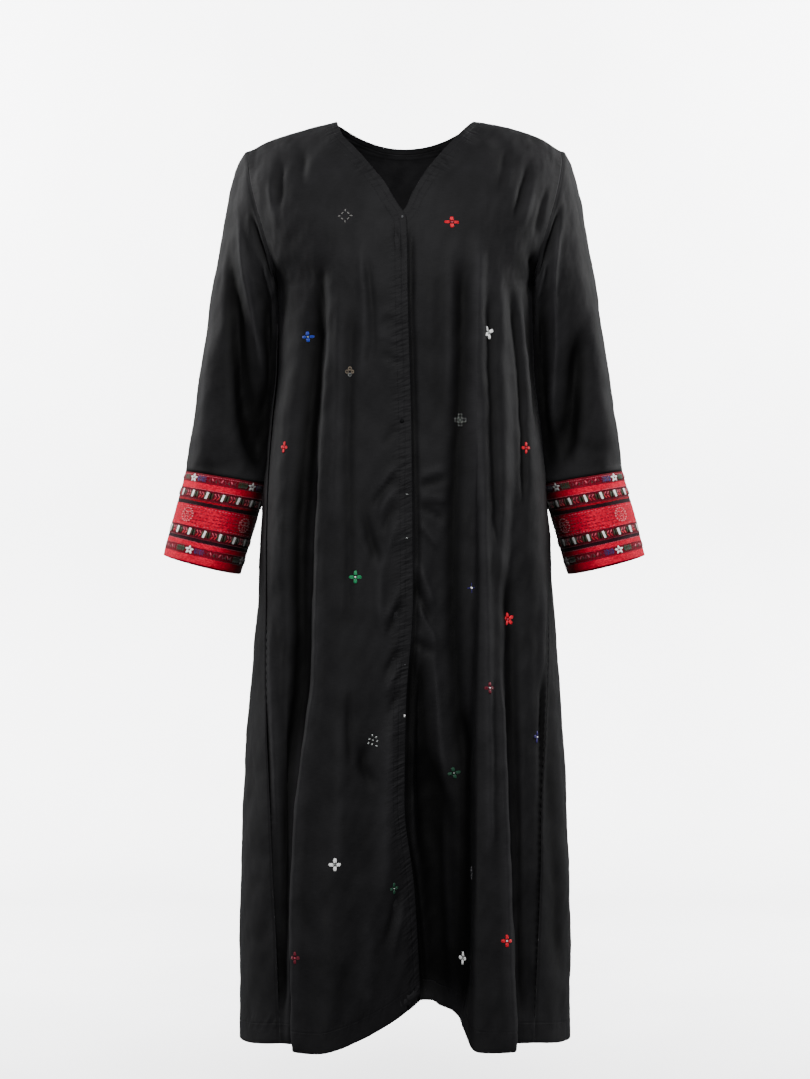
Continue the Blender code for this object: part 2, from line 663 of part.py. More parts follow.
def build_stud(stud, piece, material):
    """Both halves of a closed press stud, under the flat faces of the lapping front's wall."""
    downs = body_rows()
    row = int(np.searchsorted(downs, stud.down))
    share = (stud.down - downs[row - 1]) / (downs[row] - downs[row - 1])
    across = np.linspace(0.0, 1.0, STUD_SEARCH_STEPS)
    above = panel_row(piece, downs[row - 1], across)[0]
    below = panel_row(piece, downs[row], across)[0]
    points = above * (1 - share) + below * share
    inset = points[0, 0] - points[:, 0]
    near, place, far = [
        int(np.argmin(np.abs(inset - stud.inset - reach))) for reach in (-STUD_RADIUS, 0.0, STUD_RADIUS)
    ]
    out = Vector(unit(np.cross(points[far] - points[near], below[place] - above[place])))
    centre = (Vector(points[near]) + Vector(points[far])) / 2 - out * (WALL + STUD_GAP + STUD_THICKNESS / 2)
    bm = bmesh.new()
    bmesh.ops.create_cone(
        bm, cap_ends=True, segments=STUD_SIDES, radius1=STUD_RADIUS, radius2=STUD_RADIUS, depth=STUD_THICKNESS
    )
    rims = [edge for edge in bm.edges if abs(edge.verts[0].co.z - edge.verts[1].co.z) < 1e-6]
    bmesh.ops.bevel(
        bm, geom=rims, offset=STUD_BEVEL, segments=1, profile=0.5, affect="EDGES", material=-1
    )
    turn = Vector((0, 0, 1)).rotation_difference(out).to_matrix().to_4x4()
    bmesh.ops.transform(bm, matrix=turn, verts=bm.verts)
    bmesh.ops.translate(bm, vec=centre, verts=bm.verts)
    return add_object(stud.name, bm, material)


def main():
    for obj in list(bpy.data.objects):
        bpy.data.objects.remove(obj, do_unlink=True)
    front_right = front_piece("front_right", -1, FRONT_RIGHT_FOLDS)
    front_left = front_piece("front_left", 1, FRONT_LEFT_FOLDS)
    for piece in (front_right, front_left, back_piece()):
        build_panel(piece, principled(piece.name + "_cloth", BLACK_CLOTH, CLOTH_ROUGHNESS))
    for word, side in (("right", -1), ("left", 1)):
        sleeve = principled("sleeve_" + word + "_cloth", BLACK_CLOTH, CLOTH_ROUGHNESS)
        build_wall("sleeve_" + word, *sleeve_walls(side), sleeve, tube=True)
        cuff = principled("cuff_" + word + "_band", CUFF_RED, CUFF_ROUGHNESS)
        build_wall("cuff_" + word, *cuff_walls(side), cuff, tube=True)
    for stud in STUDS:
        metal = principled(stud.name + "_metal", STUD_METAL, METAL_ROUGHNESS, 1.0)
        build_stud(stud, front_right, metal)


main()
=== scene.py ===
"""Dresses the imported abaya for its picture: thin cloth shells on the solids' forms, turned hems,
stitching, scattered flowers, embroidered cuff bands, press studs, and a plain studio.

Metres, +Z up. The front faces -Y, and the wearer's right side is at -X. A place on the body is given
by two numbers, as in the solids' source: down, the distance below the shoulder seam, and a turn
round the body from the centre front.
"""

import math
import random
from collections import namedtuple

import bmesh
import bpy
import numpy as np
from bpy.props import FloatProperty, FloatVectorProperty, PointerProperty
from mathutils import Matrix, Vector
from mathutils.bvhtree import BVHTree


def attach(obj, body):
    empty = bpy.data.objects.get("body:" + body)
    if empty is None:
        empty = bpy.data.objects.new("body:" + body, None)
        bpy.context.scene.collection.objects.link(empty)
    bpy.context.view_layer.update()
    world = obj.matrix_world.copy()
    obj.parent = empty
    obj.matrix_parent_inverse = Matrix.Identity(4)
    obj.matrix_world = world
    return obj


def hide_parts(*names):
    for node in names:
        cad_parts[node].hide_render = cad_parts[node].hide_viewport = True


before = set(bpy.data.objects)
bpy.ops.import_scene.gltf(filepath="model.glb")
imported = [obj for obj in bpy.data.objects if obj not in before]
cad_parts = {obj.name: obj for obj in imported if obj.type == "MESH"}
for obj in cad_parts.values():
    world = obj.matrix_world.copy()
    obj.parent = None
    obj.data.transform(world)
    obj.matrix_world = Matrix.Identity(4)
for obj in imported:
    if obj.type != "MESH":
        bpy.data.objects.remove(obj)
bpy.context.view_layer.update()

bl_info = {
    "name": "Abaya dresser",
    "version": (1, 0, 0),
    "blender": (4, 5, 0),
    "location": "3D View > Sidebar > Abaya",
    "description": "Cloth shells, embroidery, stitching and studio for the packed abaya",
    "category": "Object",
}

BODY = "root"
SIDES = {"right": -1, "left": 1}


def cell(text):
    """A table's cell: a number, a word, none for a dash, and a tuple where it has a comma or a slash."""
    for mark in "/,":
        if mark in text:
            return tuple(cell(part) for part in text.split(mark) if part)
    try:
        return float(text)
    except ValueError:
        return None if text == "-" else text


def table(text):
    """Rows of a text table whose first line names its columns."""
    names, *lines = text.strip().splitlines()
    row = namedtuple("Row", names)
    return [row(*map(cell, line.split())) for line in lines]


# Step for slopes worked out by difference, as a share of a sheet or in metres
NUDGE = 1e-4
FINE_NUDGE = 1e-6
FINE_TURN = 1e-5
DOWN_TRIES = 20
# A wall lying flatter than this gets no relief, because it has no sideways direction
FLATTEST = 0.05

# The garment's length and its armpits' height below the neck points, its half widths at the neck and the
# shoulder tips, and how the shoulders slope and round between them. Fullness is a slight rise between neck and
# tip, by side. The back's curved neck is deepest in the middle and fades down the rows.
LENGTH = 1.345
ARMPIT = 0.252
NECK_HALF = 0.101
TIP_HALF = 0.232
SHOULDER_DROP = 0.039
SHOULDER_ROUNDING = 0.06
SHOULDER_FULLNESS = {-1: 0.0015, 1: 0.0060}
BACK_NECK_DROP = 0.047
BACK_NECK_FADE = 0.12
HEM_RISE_START = 0.85

# How far the left front reaches under the lap, and over what height the neck's edge turns into the lap's
UNDERLAP = 0.030
LAP_RUN_IN = 0.03

# The body's section is an oval, a little squarer than an ellipse
SQUARENESS = 2.4

# The body's section at heights down from the neck points; side_y is where its sides lie between front and back
LEVELS = table("""
down half_width front_depth back_depth side_y
0 .248 0 0 0
.01 .247 .03 .026 0
.03 .245 .055 .048 0
.06 .241 .081 .072 0
.1 .234 .105 .094 0
.15 .223 .125 .112 0
.2 .2065 .135 .12 -.002
.25 .1885 .139 .123 -.005
.3 .187 .137 .124 -.008
.36 .1885 .132 .126 -.012
.457 .1985 .123 .132 -.02
.56 .208 .123 .148 -.024
.7 .2168 .125 .163 -.025
.85 .2282 .134 .167 -.023
1 .2374 .145 .17 -.02
1.15 .2425 .158 .176 -.017
1.345 .2425 .17 .18 -.015
""")

# The two edges of the V neck, as seen from the front
V_NECK = table("""
z right_x left_x
0 -.101 .101
-.0255 -.0925 .0795
-.0462 -.0755 .0624
-.066 -.0593 .0462
-.0852 -.0446 .0316
-.1039 -.03 .02
-.1224 -.0195 .0097
-.1406 -.0085 .002
-.156 .001 -.012
-.174 .002 -.027
""")

# The free edge of the lapping front, and the side seams, in degrees from the centre front
EDGES = table("""
down lap right_seam left_seam
.174 .6 84 84
.252 .9 84 84
.457 2.4 74 75
.7 2.8 62 67
.85 .2 56 58
1 -.3 50 51
1.16 3.2 46.5 48.5
1.345 5.6 45 47
""")

# The armholes, in degrees from the centre front and from the centre back
ARMHOLE = table("""
down front back
0 64 64
.05 64 64
.1 63.5 63
.15 63 62.5
.19 64.5 66
.22 69 73
.24 76 84
.252 84 96
""")

# The fold lines of each panel, from its inner edge to its outer one, at each height of FOLD_DOWNS.
# turn is the line's place round the body in degrees: on the fronts from the centre front outwards, on the
# back from the centre back, negative on the wearer's right. The first and last lines are the panel's edges,
# so they have none. relief is the line's height over the plain oval, and rise how far the hem lifts there,
# both in millimetres.
FOLD_DOWNS = (0.0, 0.14, 0.25, 0.457, 0.70, 1.00, 1.345)
FRONT_RIGHT_FOLDS = table("""
name turn relief rise
lap_edge - 0,0,0,0,-4,-25,-75 74
lap_fall 30,12,14,12,10,12.5,7 0,0,0,0,1,-8,-40 42
lobe_crest 37,25,27.5,24,23,25,27 0,0,1,4,10,16,22 15
lobe_edge 44,36,39,38,36,37,38 0,0,2,8,12,16,16 15
lobe_valley 51,45,48,45,41,41,42.5 0,0,-2,-11,-20,-24,-22 20
side 57.5,54,66,60,52,46.5,44 0,0,0,0,1,-3,-12 20
side_seam - 0,0,0,0,0,0,-8 19
""")
FRONT_LEFT_FOLDS = table("""
name turn relief rise
under_edge - 0,-5.4,-5.4,-5.4,-9,-30,-82 72
under_lap 28,5,3,5.5,5.5,2.5,8 0,-5,-5.4,-5.4,-8.5,-31,-84 73
recess 33,14,14,14,13,10,13 0,0,0,-3,-14,-42,-80 66
band_base 38.5,27,30,29,25.5,21.4,19 0,0,0,-2,-8,-24,-44 60
band_inner 43.5,32,34,32.5,28,23.5,21.5 0,0,1,3,8,14,20 19
band_outer 48.5,40,43,40,34.5,32.5,36 0,0,1,3,8,12,18 15
outer_valley 53.5,47,51,48,41.5,37.5,39.5 0,0,-1,-5,-9,-12,-16 21
side 58.8,55,68,61,54,44.5,43.5 0,0,0,1,3,-2,-10 21
side_seam - 0,0,0,0,0,0,-8 19
""")
BACK_FOLDS = table("""
name turn relief rise
right_seam - 0,0,0,0,0,0,-8 19
right_front_side -60,-59,-92,-98,-104,-110,-112 0,0,0,0,-1,-3,-6 9
right_side -56,-54,-86,-89,-91,-89,-89 0,0,0,0,0,0,0 5
right_outer_valley -48,-46,-70,-72,-74,-72,-70 0,0,0,-3,-8,-15,-22 4
right_outer_crest -36,-36,-54,-56,-58,-56,-54 0,0,0,2,6,11,16 4
right_valley -23.2,-26,-38,-41,-43,-40,-38 0,0,-2,-6,-12,-19,-26 8
right_crest -15,-17,-25,-27,-27,-24,-22 0,0,1,4,8,13,18 10
centre_right_valley -7.5,-8.5,-12,-13,-13,-9.5,-8 0,0,-1,-4,-10,-16,-22 22
centre_crest 0,0,0,0,1,4,5 0,0,0,2,5,9,14 24
centre_left_valley 7.5,8.5,12,14,16,19,22 0,0,-1,-5,-9,-14,-20 20
left_crest 15,17,25,29,32,35,37 0,0,1,3,8,14,20 10
left_valley 23.2,26,39,42,45,49,51 0,0,-2,-5,-12,-18,-24 8
left_outer_crest 36,36,54,57,60,63,64 0,0,0,2,6,10,14 4
left_outer_valley 48,46,71,74,76,76,76 0,0,0,-3,-7,-13,-19 4
left_side 56,54,86,90,91,90,90 0,0,0,0,0,0,0 5
left_front_side 60,59,92,99,105,109,111 0,0,0,0,-1,-3,-6 9
left_seam - 0,0,0,0,0,0,-8 19
""")
PANEL_FOLDS = {"front_right": FRONT_RIGHT_FOLDS, "front_left": FRONT_LEFT_FOLDS, "back": BACK_FOLDS}
# A fold line keeps this far, in degrees, from an armhole or neck edge before it starts to bend along it
EDGE_MARGIN = 16

# The cuffs: each end is given as the centre and half width of an oval square to the arm, and how far it is
# turned back towards level
CuffEnd = namedtuple("CuffEnd", "x y z half_width half_depth levelling")
CUFF_TOP = CuffEnd(0.2632, 0.030, -0.5225, 0.0625, 0.0560, 0.110)
CUFF_BOTTOM = CuffEnd(0.2985, 0.022, -0.6495, 0.0590, 0.0560, 0.035)
CUFF_LEAN = math.atan2(CUFF_BOTTOM.x - CUFF_TOP.x, CUFF_TOP.z - CUFF_BOTTOM.z)
ARMS_SHIFT = -0.0012

# The sleeves: the bend where they leave the armhole, then the two handles of the curve to the cuff.
# The armhole's handle is longest where the sleeve leaves straight, and the cuff's leans inwards by its slant.
BEND_RADIUS = 0.003
SHORTEST_BEND = 0.005
SHARPEST_BEND = 150
BEND_SHARE = 0.1
CAP_SPREAD = 0.35
LONGEST_HANDLE = 0.020
SHORTEST_HANDLE = 0.006
HANDLE_FADE_BEND = 120
HANDLE_FADE_POWER = 1.5
CUFF_HANDLE = 0.15
OUTER_SLANT = 0.13
INNER_SLANT = 0.12

# Folds of a sleeve: turn is from the outer side of the arm towards the front, in degrees, and relief
# in millimetres at the armhole, elbow and cuff. They fade out over the last share before the cuff.
SLEEVE_FOLD_FADE = 0.1
SLEEVE_FOLDS = table("""
name turn spread relief
front_valley 118 20 0,-7,-2
inner_ridge 148 18 0,6,3
back_valley 245 24 0,-5,-2
""")


def smooth(knots, values, at):
    """A curve through the knots that turns only where they do; at may be an array."""
    knots = np.asarray(knots, float)
    values = np.asarray(values, float)
    steps = np.diff(knots)
    slopes = np.diff(values) / steps
    tangents = np.zeros(len(knots))
    tangents[0] = slopes[0]
    tangents[-1] = slopes[-1]
    for i in range(1, len(knots) - 1):
        if slopes[i - 1] * slopes[i] > 0:
            before = 2 * steps[i] + steps[i - 1]
            after = steps[i] + 2 * steps[i - 1]
            tangents[i] = (before + after) / (before / slopes[i - 1] + after / slopes[i])
    at = np.clip(np.asarray(at, float), knots[0], knots[-1])
    left = np.clip(np.searchsorted(knots, at) - 1, 0, len(steps) - 1)
    width = steps[left]
    t = (at - knots[left]) / width
    return (
        values[left] * (2 * t**3 - 3 * t**2 + 1)
        + tangents[left] * width * (t**3 - 2 * t**2 + t)
        + values[left + 1] * (3 * t**2 - 2 * t**3)
        + tangents[left + 1] * width * (t**3 - t**2)
    )


def ease(at):
    at = np.clip(at, 0.0, 1.0)
    return at * at * (3 - 2 * at)


def unit(vectors):
    return vectors / np.linalg.norm(vectors, axis=-1, keepdims=True)


def column(rows, name):
    return [getattr(row, name) for row in rows]


def level_value(name, down):
    """A column of LEVELS at this height. It runs over the root of down, so the shoulder rounds over."""
    roots = np.sqrt(column(LEVELS, "down"))
    return smooth(roots, column(LEVELS, name), np.sqrt(np.maximum(down, 0.0)))


def shoulder_lift(x, down):
    """How far the shoulder's slope lowers a point: nothing at the neck point, nor below the armpit."""

    def reach(half):
        return np.sqrt(half * half + SHOULDER_ROUNDING**2)

    slope = (reach(x) - reach(NECK_HALF)) / (reach(TIP_HALF) - reach(NECK_HALF))
    along = np.clip((np.abs(x) - NECK_HALF) / (TIP_HALF - NECK_HALF), 0.0, 1.0)
    fullness = np.where(np.asarray(x) < 0, SHOULDER_FULLNESS[-1], SHOULDER_FULLNESS[1])
    return (SHOULDER_DROP * slope - fullness * np.sin(math.pi * along)) * (1 - ease(down / ARMPIT))


def section(angle):
    """Sideways and forward shares of the body's section at a turn."""
    s = np.sin(angle)
    c = np.cos(angle)
    scale = (np.abs(s) ** SQUARENESS + np.abs(c) ** SQUARENESS) ** (-1 / SQUARENESS)
    return s * scale, c * scale


def section_x(angle, down):
    return level_value("half_width", down) * section(angle)[0]


def body_point(angle, down):
    """Point of the plain oval body at a turn from the centre front, in radians towards +X."""
    angle = np.asarray(angle, float)
    down = np.asarray(down, float) + 0 * angle
    forward = section(angle)[1]
    depth = np.where(forward > 0, level_value("front_depth", down), level_value("back_depth", down))
    x = section_x(angle, down)
    y = level_value("side_y", down) - depth * forward
    z = -down - shoulder_lift(x, down)
    return np.stack([x, y, z], axis=-1)


def body_normal(angle, down):
    """Outward normal of the plain oval body. At the shoulder seam, where the oval closes, it is upwards."""
    angle = np.asarray(angle, float)
    down = np.asarray(down, float) + 0 * angle
    below = down + FINE_NUDGE
    round_body = body_point(angle + FINE_TURN, below) - body_point(angle - FINE_TURN, below)
    down_body = body_point(angle, below) - body_point(angle, np.maximum(down - FINE_NUDGE, 0.0))
    normal = unit(np.cross(down_body, round_body))
    slope = np.sign(np.sin(angle)) * SHOULDER_DROP / (TIP_HALF - NECK_HALF)
    seam = unit(np.stack([slope, 0 * down, 1 + 0 * down], axis=-1))
    return np.where((down < FINE_NUDGE)[..., None], seam, normal)


def angle_at(x, down):
    """Turn, in radians, at which the front of the oval has this x."""
    share = np.clip(np.abs(x) / level_value("half_width", down), 0.0, 1.0)
    forward = (1 - share**SQUARENESS) ** (1 / SQUARENESS)
    return np.sign(x) * np.arctan2(share, forward)


def down_at(x, z):
    down = -z
    for _ in range(DOWN_TRIES):
        down = -z - shoulder_lift(x, down)
    return down


def neck_angle(side, down):
    """Turn of the V neck's edge, and below it of the front's free edge."""
    x_name = "right_x" if side < 0 else "left_x"
    downs = [max(0.0, float(down_at(getattr(point, x_name), point.z))) for point in V_NECK]
    downs[0] = 0.0
    if down <= downs[-1]:
        return float(angle_at(smooth(downs, column(V_NECK, x_name), down), down))
    lap = math.radians(float(smooth(column(EDGES, "down"), column(EDGES, "lap"), down)))
    if side < 0:
        blend = float(ease((down - downs[-1]) / LAP_RUN_IN))
        end = float(angle_at(V_NECK[-1].right_x, down))
        return end + (lap - end) * blend
    x = float(section_x(lap, down)) - UNDERLAP
    return float(angle_at(x, down))


def armhole_angle(down, half):
    """Turn of the armhole's edge from the centre front, on the front half or the back half."""
    reach = np.sqrt(np.maximum(ARMPIT - np.asarray(column(ARMHOLE, "down")), 0.0))[::-1]
    at = np.sqrt(np.maximum(ARMPIT - np.asarray(down, float), 0.0))
    turn = smooth(reach, column(ARMHOLE, half)[::-1], at)
    return np.radians(turn if half == "front" else 180.0 - turn)


def seam_angle(side, down, half):
    """Turn of a panel's outer edge: the armhole, and below it the side seam. Positive on both sides."""
    if down <= ARMPIT:
        return float(armhole_angle(down, half))
    name = "right_seam" if side < 0 else "left_seam"
    return math.radians(float(smooth(column(EDGES, "down"), column(EDGES, name), down)))


def front_edges(side, down):
    """Inner and outer turn of a front panel, in radians."""
    return neck_angle(side, down), side * seam_angle(side, down, "front")


def back_edges(down):
    """Turn of the back's two edges, from the wearer's right round the back to the left."""
    right = -seam_angle(-1, down, "back")
    left = seam_angle(1, down, "back") - 2 * math.pi
    return right, left


def back_neck(x, down):
    """How much lower the back's rows start, below its curved neck."""
    inside = np.clip(1 - (np.abs(x) / NECK_HALF) ** 2, 0.0, 1.0)
    return BACK_NECK_DROP * inside * np.clip(1 - down / BACK_NECK_FADE, 0.0, 1.0)


def keep_between(place, low, high):
    """Bends a place softly to stay between two edges."""
    margin = min(EDGE_MARGIN, (high - low) / 3)
    if place > high - margin:
        return high - margin * math.exp(-(place - high + margin) / margin)
    if place < low + margin:
        return low + margin * math.exp((place - low - margin) / margin)
    return place


def fold_angles(piece, down):
    """Turns of a panel's fold lines at this height, in radians from the centre front."""
    inner, outer = piece.edges(down)
    low, high = sorted((piece.to_turn(inner), piece.to_turn(outer)))
    angles = [inner]
    for fold in piece.folds[1:-1]:
        turn = keep_between(float(smooth(FOLD_DOWNS, fold.turn, down)), low, high)
        angles.append(piece.to_angle(turn))
    return angles + [outer]


# A panel of the body: its edges and fold lines, and how a fold line's degrees become radians from the
# centre front and back again
Piece = namedtuple("Piece", "name folds edges to_angle to_turn with_neck")


def front_piece(word):
    name, side = "front_" + word, SIDES[word]
    return Piece(
        name,
        PANEL_FOLDS[name],
        lambda down: front_edges(side, down),
        lambda turn: side * math.radians(turn),
        lambda angle: side * math.degrees(angle),
        False,
    )


def back_piece():
    return Piece(
        "back",
        PANEL_FOLDS["back"],
        back_edges,
        lambda turn: -math.pi - math.radians(turn),
        lambda angle: -180 - math.degrees(angle),
        True,
    )


def panel_row(piece, down, across):
    """Points of a panel at one height, and the wall's direction at its edges, as its neighbours have it."""
    places = np.linspace(0.0, 1.0, len(piece.folds))
    reliefs = [float(smooth(FOLD_DOWNS, fold.relief, down)) / 1000 for fold in piece.folds]
    rises = np.array(column(piece.folds, "rise")) / 1000
    angle = smooth(places, fold_angles(piece, down), across)
    relief = smooth(places, reliefs, across)
    lift = ease((down - HEM_RISE_START) / (LENGTH - HEM_RISE_START))
    lowered = down - smooth(places, rises, across) * lift
    if piece.with_neck:
        lowered = lowered + back_neck(section_x(angle, down), down)
    plain = body_point(angle, lowered)
    normal = body_normal(angle, lowered)
    sideways = normal.copy()
    sideways[:, 2] = 0.0
    flat = np.linalg.norm(sideways, axis=1, keepdims=True)
    sideways = np.where(flat > FLATTEST, sideways / np.maximum(flat, FLATTEST), 0.0)
    return plain + sideways * relief[:, None], normal


def armhole_point(side, turn, step=0.0):
    """Point of the armhole at a turn round the sleeve, from the shoulder tip by the front to the armpit."""
    turn = np.asarray(turn, float) + step
    on_front = np.sin(turn) >= 0
    down = ARMPIT * (1 - np.cos(turn)) / 2
    angle = side * np.where(on_front, armhole_angle(down, "front"), armhole_angle(down, "back"))
    return body_point(angle, down), body_normal(angle, down)


def cuff_oval(end, side, turn):
    """Point of an oval at a cuff's end, nearly square to the line from the cuff's top to its bottom."""
    sideways = np.cos(turn) * end.half_width
    x = side * (end.x + sideways * math.cos(CUFF_LEAN)) + ARMS_SHIFT
    y = end.y - np.sin(turn) * end.half_depth
    z = end.z + sideways * (math.sin(CUFF_LEAN) - end.levelling)
    return np.stack([x, y + 0 * x, z], axis=-1)


def sleeve_point(side, turn, along):
    """Point of a sleeve: it leaves the body at the armhole, turns towards the arm, and runs to the cuff."""
    turn = np.asarray(turn, float)
    start, normal = armhole_point(side, turn)
    edge = armhole_point(side, turn, NUDGE)[0] - armhole_point(side, turn, -NUDGE)[0]
    leave = unit(np.cross(edge, normal)) * -side
    arm = unit(np.array([side * (CUFF_BOTTOM.x - CUFF_TOP.x), 0.0, CUFF_BOTTOM.z - CUFF_TOP.z]))
    target = arm + np.array([side * CAP_SPREAD, 0.0, 0.0])
    bend = np.arctan2(normal @ target, leave @ target)
    bend = np.clip(bend, NUDGE, math.radians(SHARPEST_BEND))[:, None]
    length = np.maximum(bend * BEND_RADIUS, SHORTEST_BEND)

    def on_bend(part):
        a = bend * part
        return start + length / bend * (leave * np.sin(a) + normal * (1 - np.cos(a)))

    if along <= BEND_SHARE:
        return on_bend(along / BEND_SHARE)
    t = (along - BEND_SHARE) / (1 - BEND_SHARE)
    heading = leave * np.cos(bend) + normal * np.sin(bend)
    straightness = np.clip(1 - bend / math.radians(HANDLE_FADE_BEND), 0.0, 1.0) ** HANDLE_FADE_POWER
    handle = SHORTEST_HANDLE + (LONGEST_HANDLE - SHORTEST_HANDLE) * straightness
    p0 = on_bend(1.0)
    p1 = p0 + heading * handle
    p3 = cuff_oval(CUFF_TOP, side, turn)
    slant = INNER_SLANT + (OUTER_SLANT - INNER_SLANT) * (1 + np.cos(turn)) / 2
    upwards = np.stack([-side * slant, 0 * slant, 1 + 0 * slant], axis=-1)
    p2 = p3 + upwards * CUFF_HANDLE
    plain = p0 * (1 - t) ** 3 + 3 * p1 * t * (1 - t) ** 2 + 3 * p2 * t * t * (1 - t) + p3 * t**3
    middle = np.mean(plain, axis=0)
    outward = unit(plain - middle)
    relief = 0
    for fold in SLEEVE_FOLDS:
        distance = (np.degrees(turn) - fold.turn + 180) % 360 - 180
        depth = float(smooth((0.0, 0.5, 1.0), fold.relief, t)) / 1000
        relief = relief + depth * np.exp(-((distance / fold.spread) ** 2))
    fade = 1 - ease((t - 1 + SLEEVE_FOLD_FADE) / SLEEVE_FOLD_FADE)
    return plain + outward * np.asarray(relief * fade)[:, None]


# Small creases

# Small creases: each is a soft trough or ridge along a path, with its half width and depth, all in
# millimetres. On the fronts the path's places are x and z, seen from the front.
RIGHT_CREASES = table("""
name width depth path
shoulder_fall 7.3 -1.4 -150,-38/-147,-79/-150,-121
shoulder_rise 7.3 .4 -135,-41/-132,-85/-137,-123
armhole_fall 7.3 -2.2 -178,-53/-179,-94/-187,-147
armhole_rise 5.9 1.4 -196,-79/-194,-123/-182,-179
bust_pull 13.2 -.4 -179,-206/-147,-235/-96,-244
long_valley 11.5 -6 -121,-206/-139,-320/-152,-467/-160,-614/-154,-761/-157,-850/-171,-967/-175,-1114/-179,-1298
long_crest 7.5 3.4 -132,-614/-134,-820/-138,-850/-151,-953/-157,-1085/-163,-1357
outer_rise 11 .7 -149,-250/-160,-330/-176,-450/-187,-560/-184,-680/-180,-780
outer_low_rise 6.6 3.4 -196,-703/-197,-820/-188,-923/-179,-1026/-175,-1232
outer_low_fall 5.9 -3.4 -204,-820/-198,-938/-197,-1114/-185,-1276
side_rise 8.8 2 -219,-850/-222,-1055/-219,-1291
bust_rise 7.3 1.9 -66,-168/-56,-276/-62,-423
bust_fall 5.1 -1.8 -59,-188/-47,-276/-44,-367
mid_rise 10.3 1.7 -96,-247/-98,-409/-101,-614
mid_fall 7.3 -2 -75,-262/-81,-453/-78,-659/-81,-761
low_mid_fall 5.1 -2 -78,-814/-79,-886/-75,-953
low_mid_rise 10.3 1.5 -98,-835/-91,-967/-96,-1114
neck_fall 4.4 -1.6 -18,-162/-12,-188/-4,-225
neck_pull 4.4 -1.2 -6,-153/-29,-147/-49,-153
lap_pull_1 3.8 .9 -4,-294/-22,-288/-41,-300
lap_pull_2 3.8 -1.1 -4,-312/-22,-304/-43,-312
lap_pull_3 4.1 .9 -4,-338/-25,-325/-46,-331
lap_pull_4 4.1 -1.1 -4,-370/-22,-353/-40,-356
lap_pull_5 4.4 -1.5 -4,-450/-21,-465/-35,-488
fan_1 4.4 2 -4,-512/-22,-517/-41,-550
fan_2 4.1 -2.4 -4,-526/-25,-534/-49,-573
fan_3 4.1 2.2 -4,-544/-25,-553/-40,-587
fan_4 4.1 -2.2 -4,-560/-21,-575/-34,-609
fan_5 4.4 2 -4,-585/-18,-603/-26,-638
pull_dent 6.6 -2.8 -57,-567/-50,-614/-31,-656
pull_rise 8.1 3 -26,-614/-40,-688/-28,-776
knee_1 4.4 2.2 -34,-738/-19,-711/-4,-673
knee_2 4.1 -2.4 -28,-753/-13,-723/-3,-697
knee_3 4.4 -2.4 -32,-808/-18,-786/-4,-761
knee_4 4.4 2.4 -31,-838/-19,-811/-4,-786
knee_5 4.4 -2 -25,-867/-15,-841/-4,-820
low_rise 11.8 3.4 -19,-835/-25,-953/-29,-1070/-31,-1144
low_dent 7.3 -3 -54,-891/-62,-933/-40,-967
low_pull 4.4 -2.4 -31,-1200/-18,-1152/-4,-1097
low_lift 4.4 2 -21,-1217/-10,-1164/0,-1120
hem_rise 11.8 1.8 -49,-1114/-49,-1217/-63,-1313
hem_fall 11.8 -1.8 -81,-1188/-88,-1261/-110,-1335
""")
LEFT_CREASES = table("""
name width depth path
shoulder_fall 5.9 -2.8 184,-56/171,-106/154,-165
shoulder_rise 5.9 1.6 194,-73/182,-121/166,-179
armhole_fall 5 -2.4 207,-97/197,-138/184,-188
collar_fall 5.9 -1.8 148,-35/143,-73/134,-121
armpit_tuck 7.3 -5 179,-196/190,-221/188,-265
bright_crest 8.8 4.2 107,-168/101,-306/104,-482/113,-644/116,-850/119,-1085
inner_valley 11 -4.4 85,-197/82,-320/76,-467/68,-585/68,-732/75,-850/75,-953
second_fall 5.9 -2.8 118,-250/123,-394/128,-556/135,-644
second_rise 8.5 1.8 132,-206/144,-350/147,-512/138,-703
third_fall 5.3 -3.4 147,-235/163,-350/171,-482/169,-585
third_rise 6 1.4 159,-240/173,-344/185,-467
fourth_fall 4.7 -3 171,-250/184,-359/196,-479
band_border 4.7 3.8 133,-791/139,-953/145,-1144/155,-1357
band_shade 8.1 -3.4 148,-644/151,-820/157,-997/161,-1144/168,-1305
band_valley 7.3 -4.6 85,-835/84,-982/81,-1144/79,-1298
side_fall 5.8 -5 196,-770/197,-880/196,-1000/193,-1144/188,-1269
side_rise 5 2.8 199,-650/197,-760/191,-900
side_shade 15 -3.2 215,-700/221,-900/226,-1250
lap_rise_1 5.9 3.2 12,-638/28,-670/44,-720
lap_fall_1 4.7 -2.8 10,-667/26,-701/41,-750
lap_rise_2 5.3 2.8 16,-700/32,-732/47,-779
lap_fall_2 5.9 -2.6 9,-756/25,-761/40,-779
hanging_rise 7.3 4.4 38,-747/43,-835/53,-938/69,-997
hanging_fall 10.3 -4.6 24,-776/22,-864/28,-967/34,-1085
fan_1 4.4 1.8 15,-526/34,-520/60,-512
fan_2 4.1 -2.4 15,-541/34,-535/62,-526
fan_3 4.1 2.4 15,-554/37,-554/65,-560
fan_4 4.1 -2.2 15,-567/37,-573/57,-591
fan_5 4.4 2 15,-588/32,-603/49,-629
lap_shadow 4.2 -3.4 4,-150/9,-179/8,-266/12,-372/15,-537/18,-635/15,-745/7,-847/5,-948/4,-1041/16,\
-1103/26,-1229/29,-1292
recess_fall 34 -5 40,-901/43,-1070/51,-1297
recess_fall_2 20 -3 16,-747/19,-879/28,-997
chest_fall 8.8 -1.4 49,-206/46,-335/43,-467
chest_rise 7.3 1.6 65,-188/63,-320/60,-453
recess_line 5.9 1.6 53,-982/57,-1114/62,-1247
hem_dimple 11.8 -1.8 185,-1208/190,-1254/187,-1302
""")
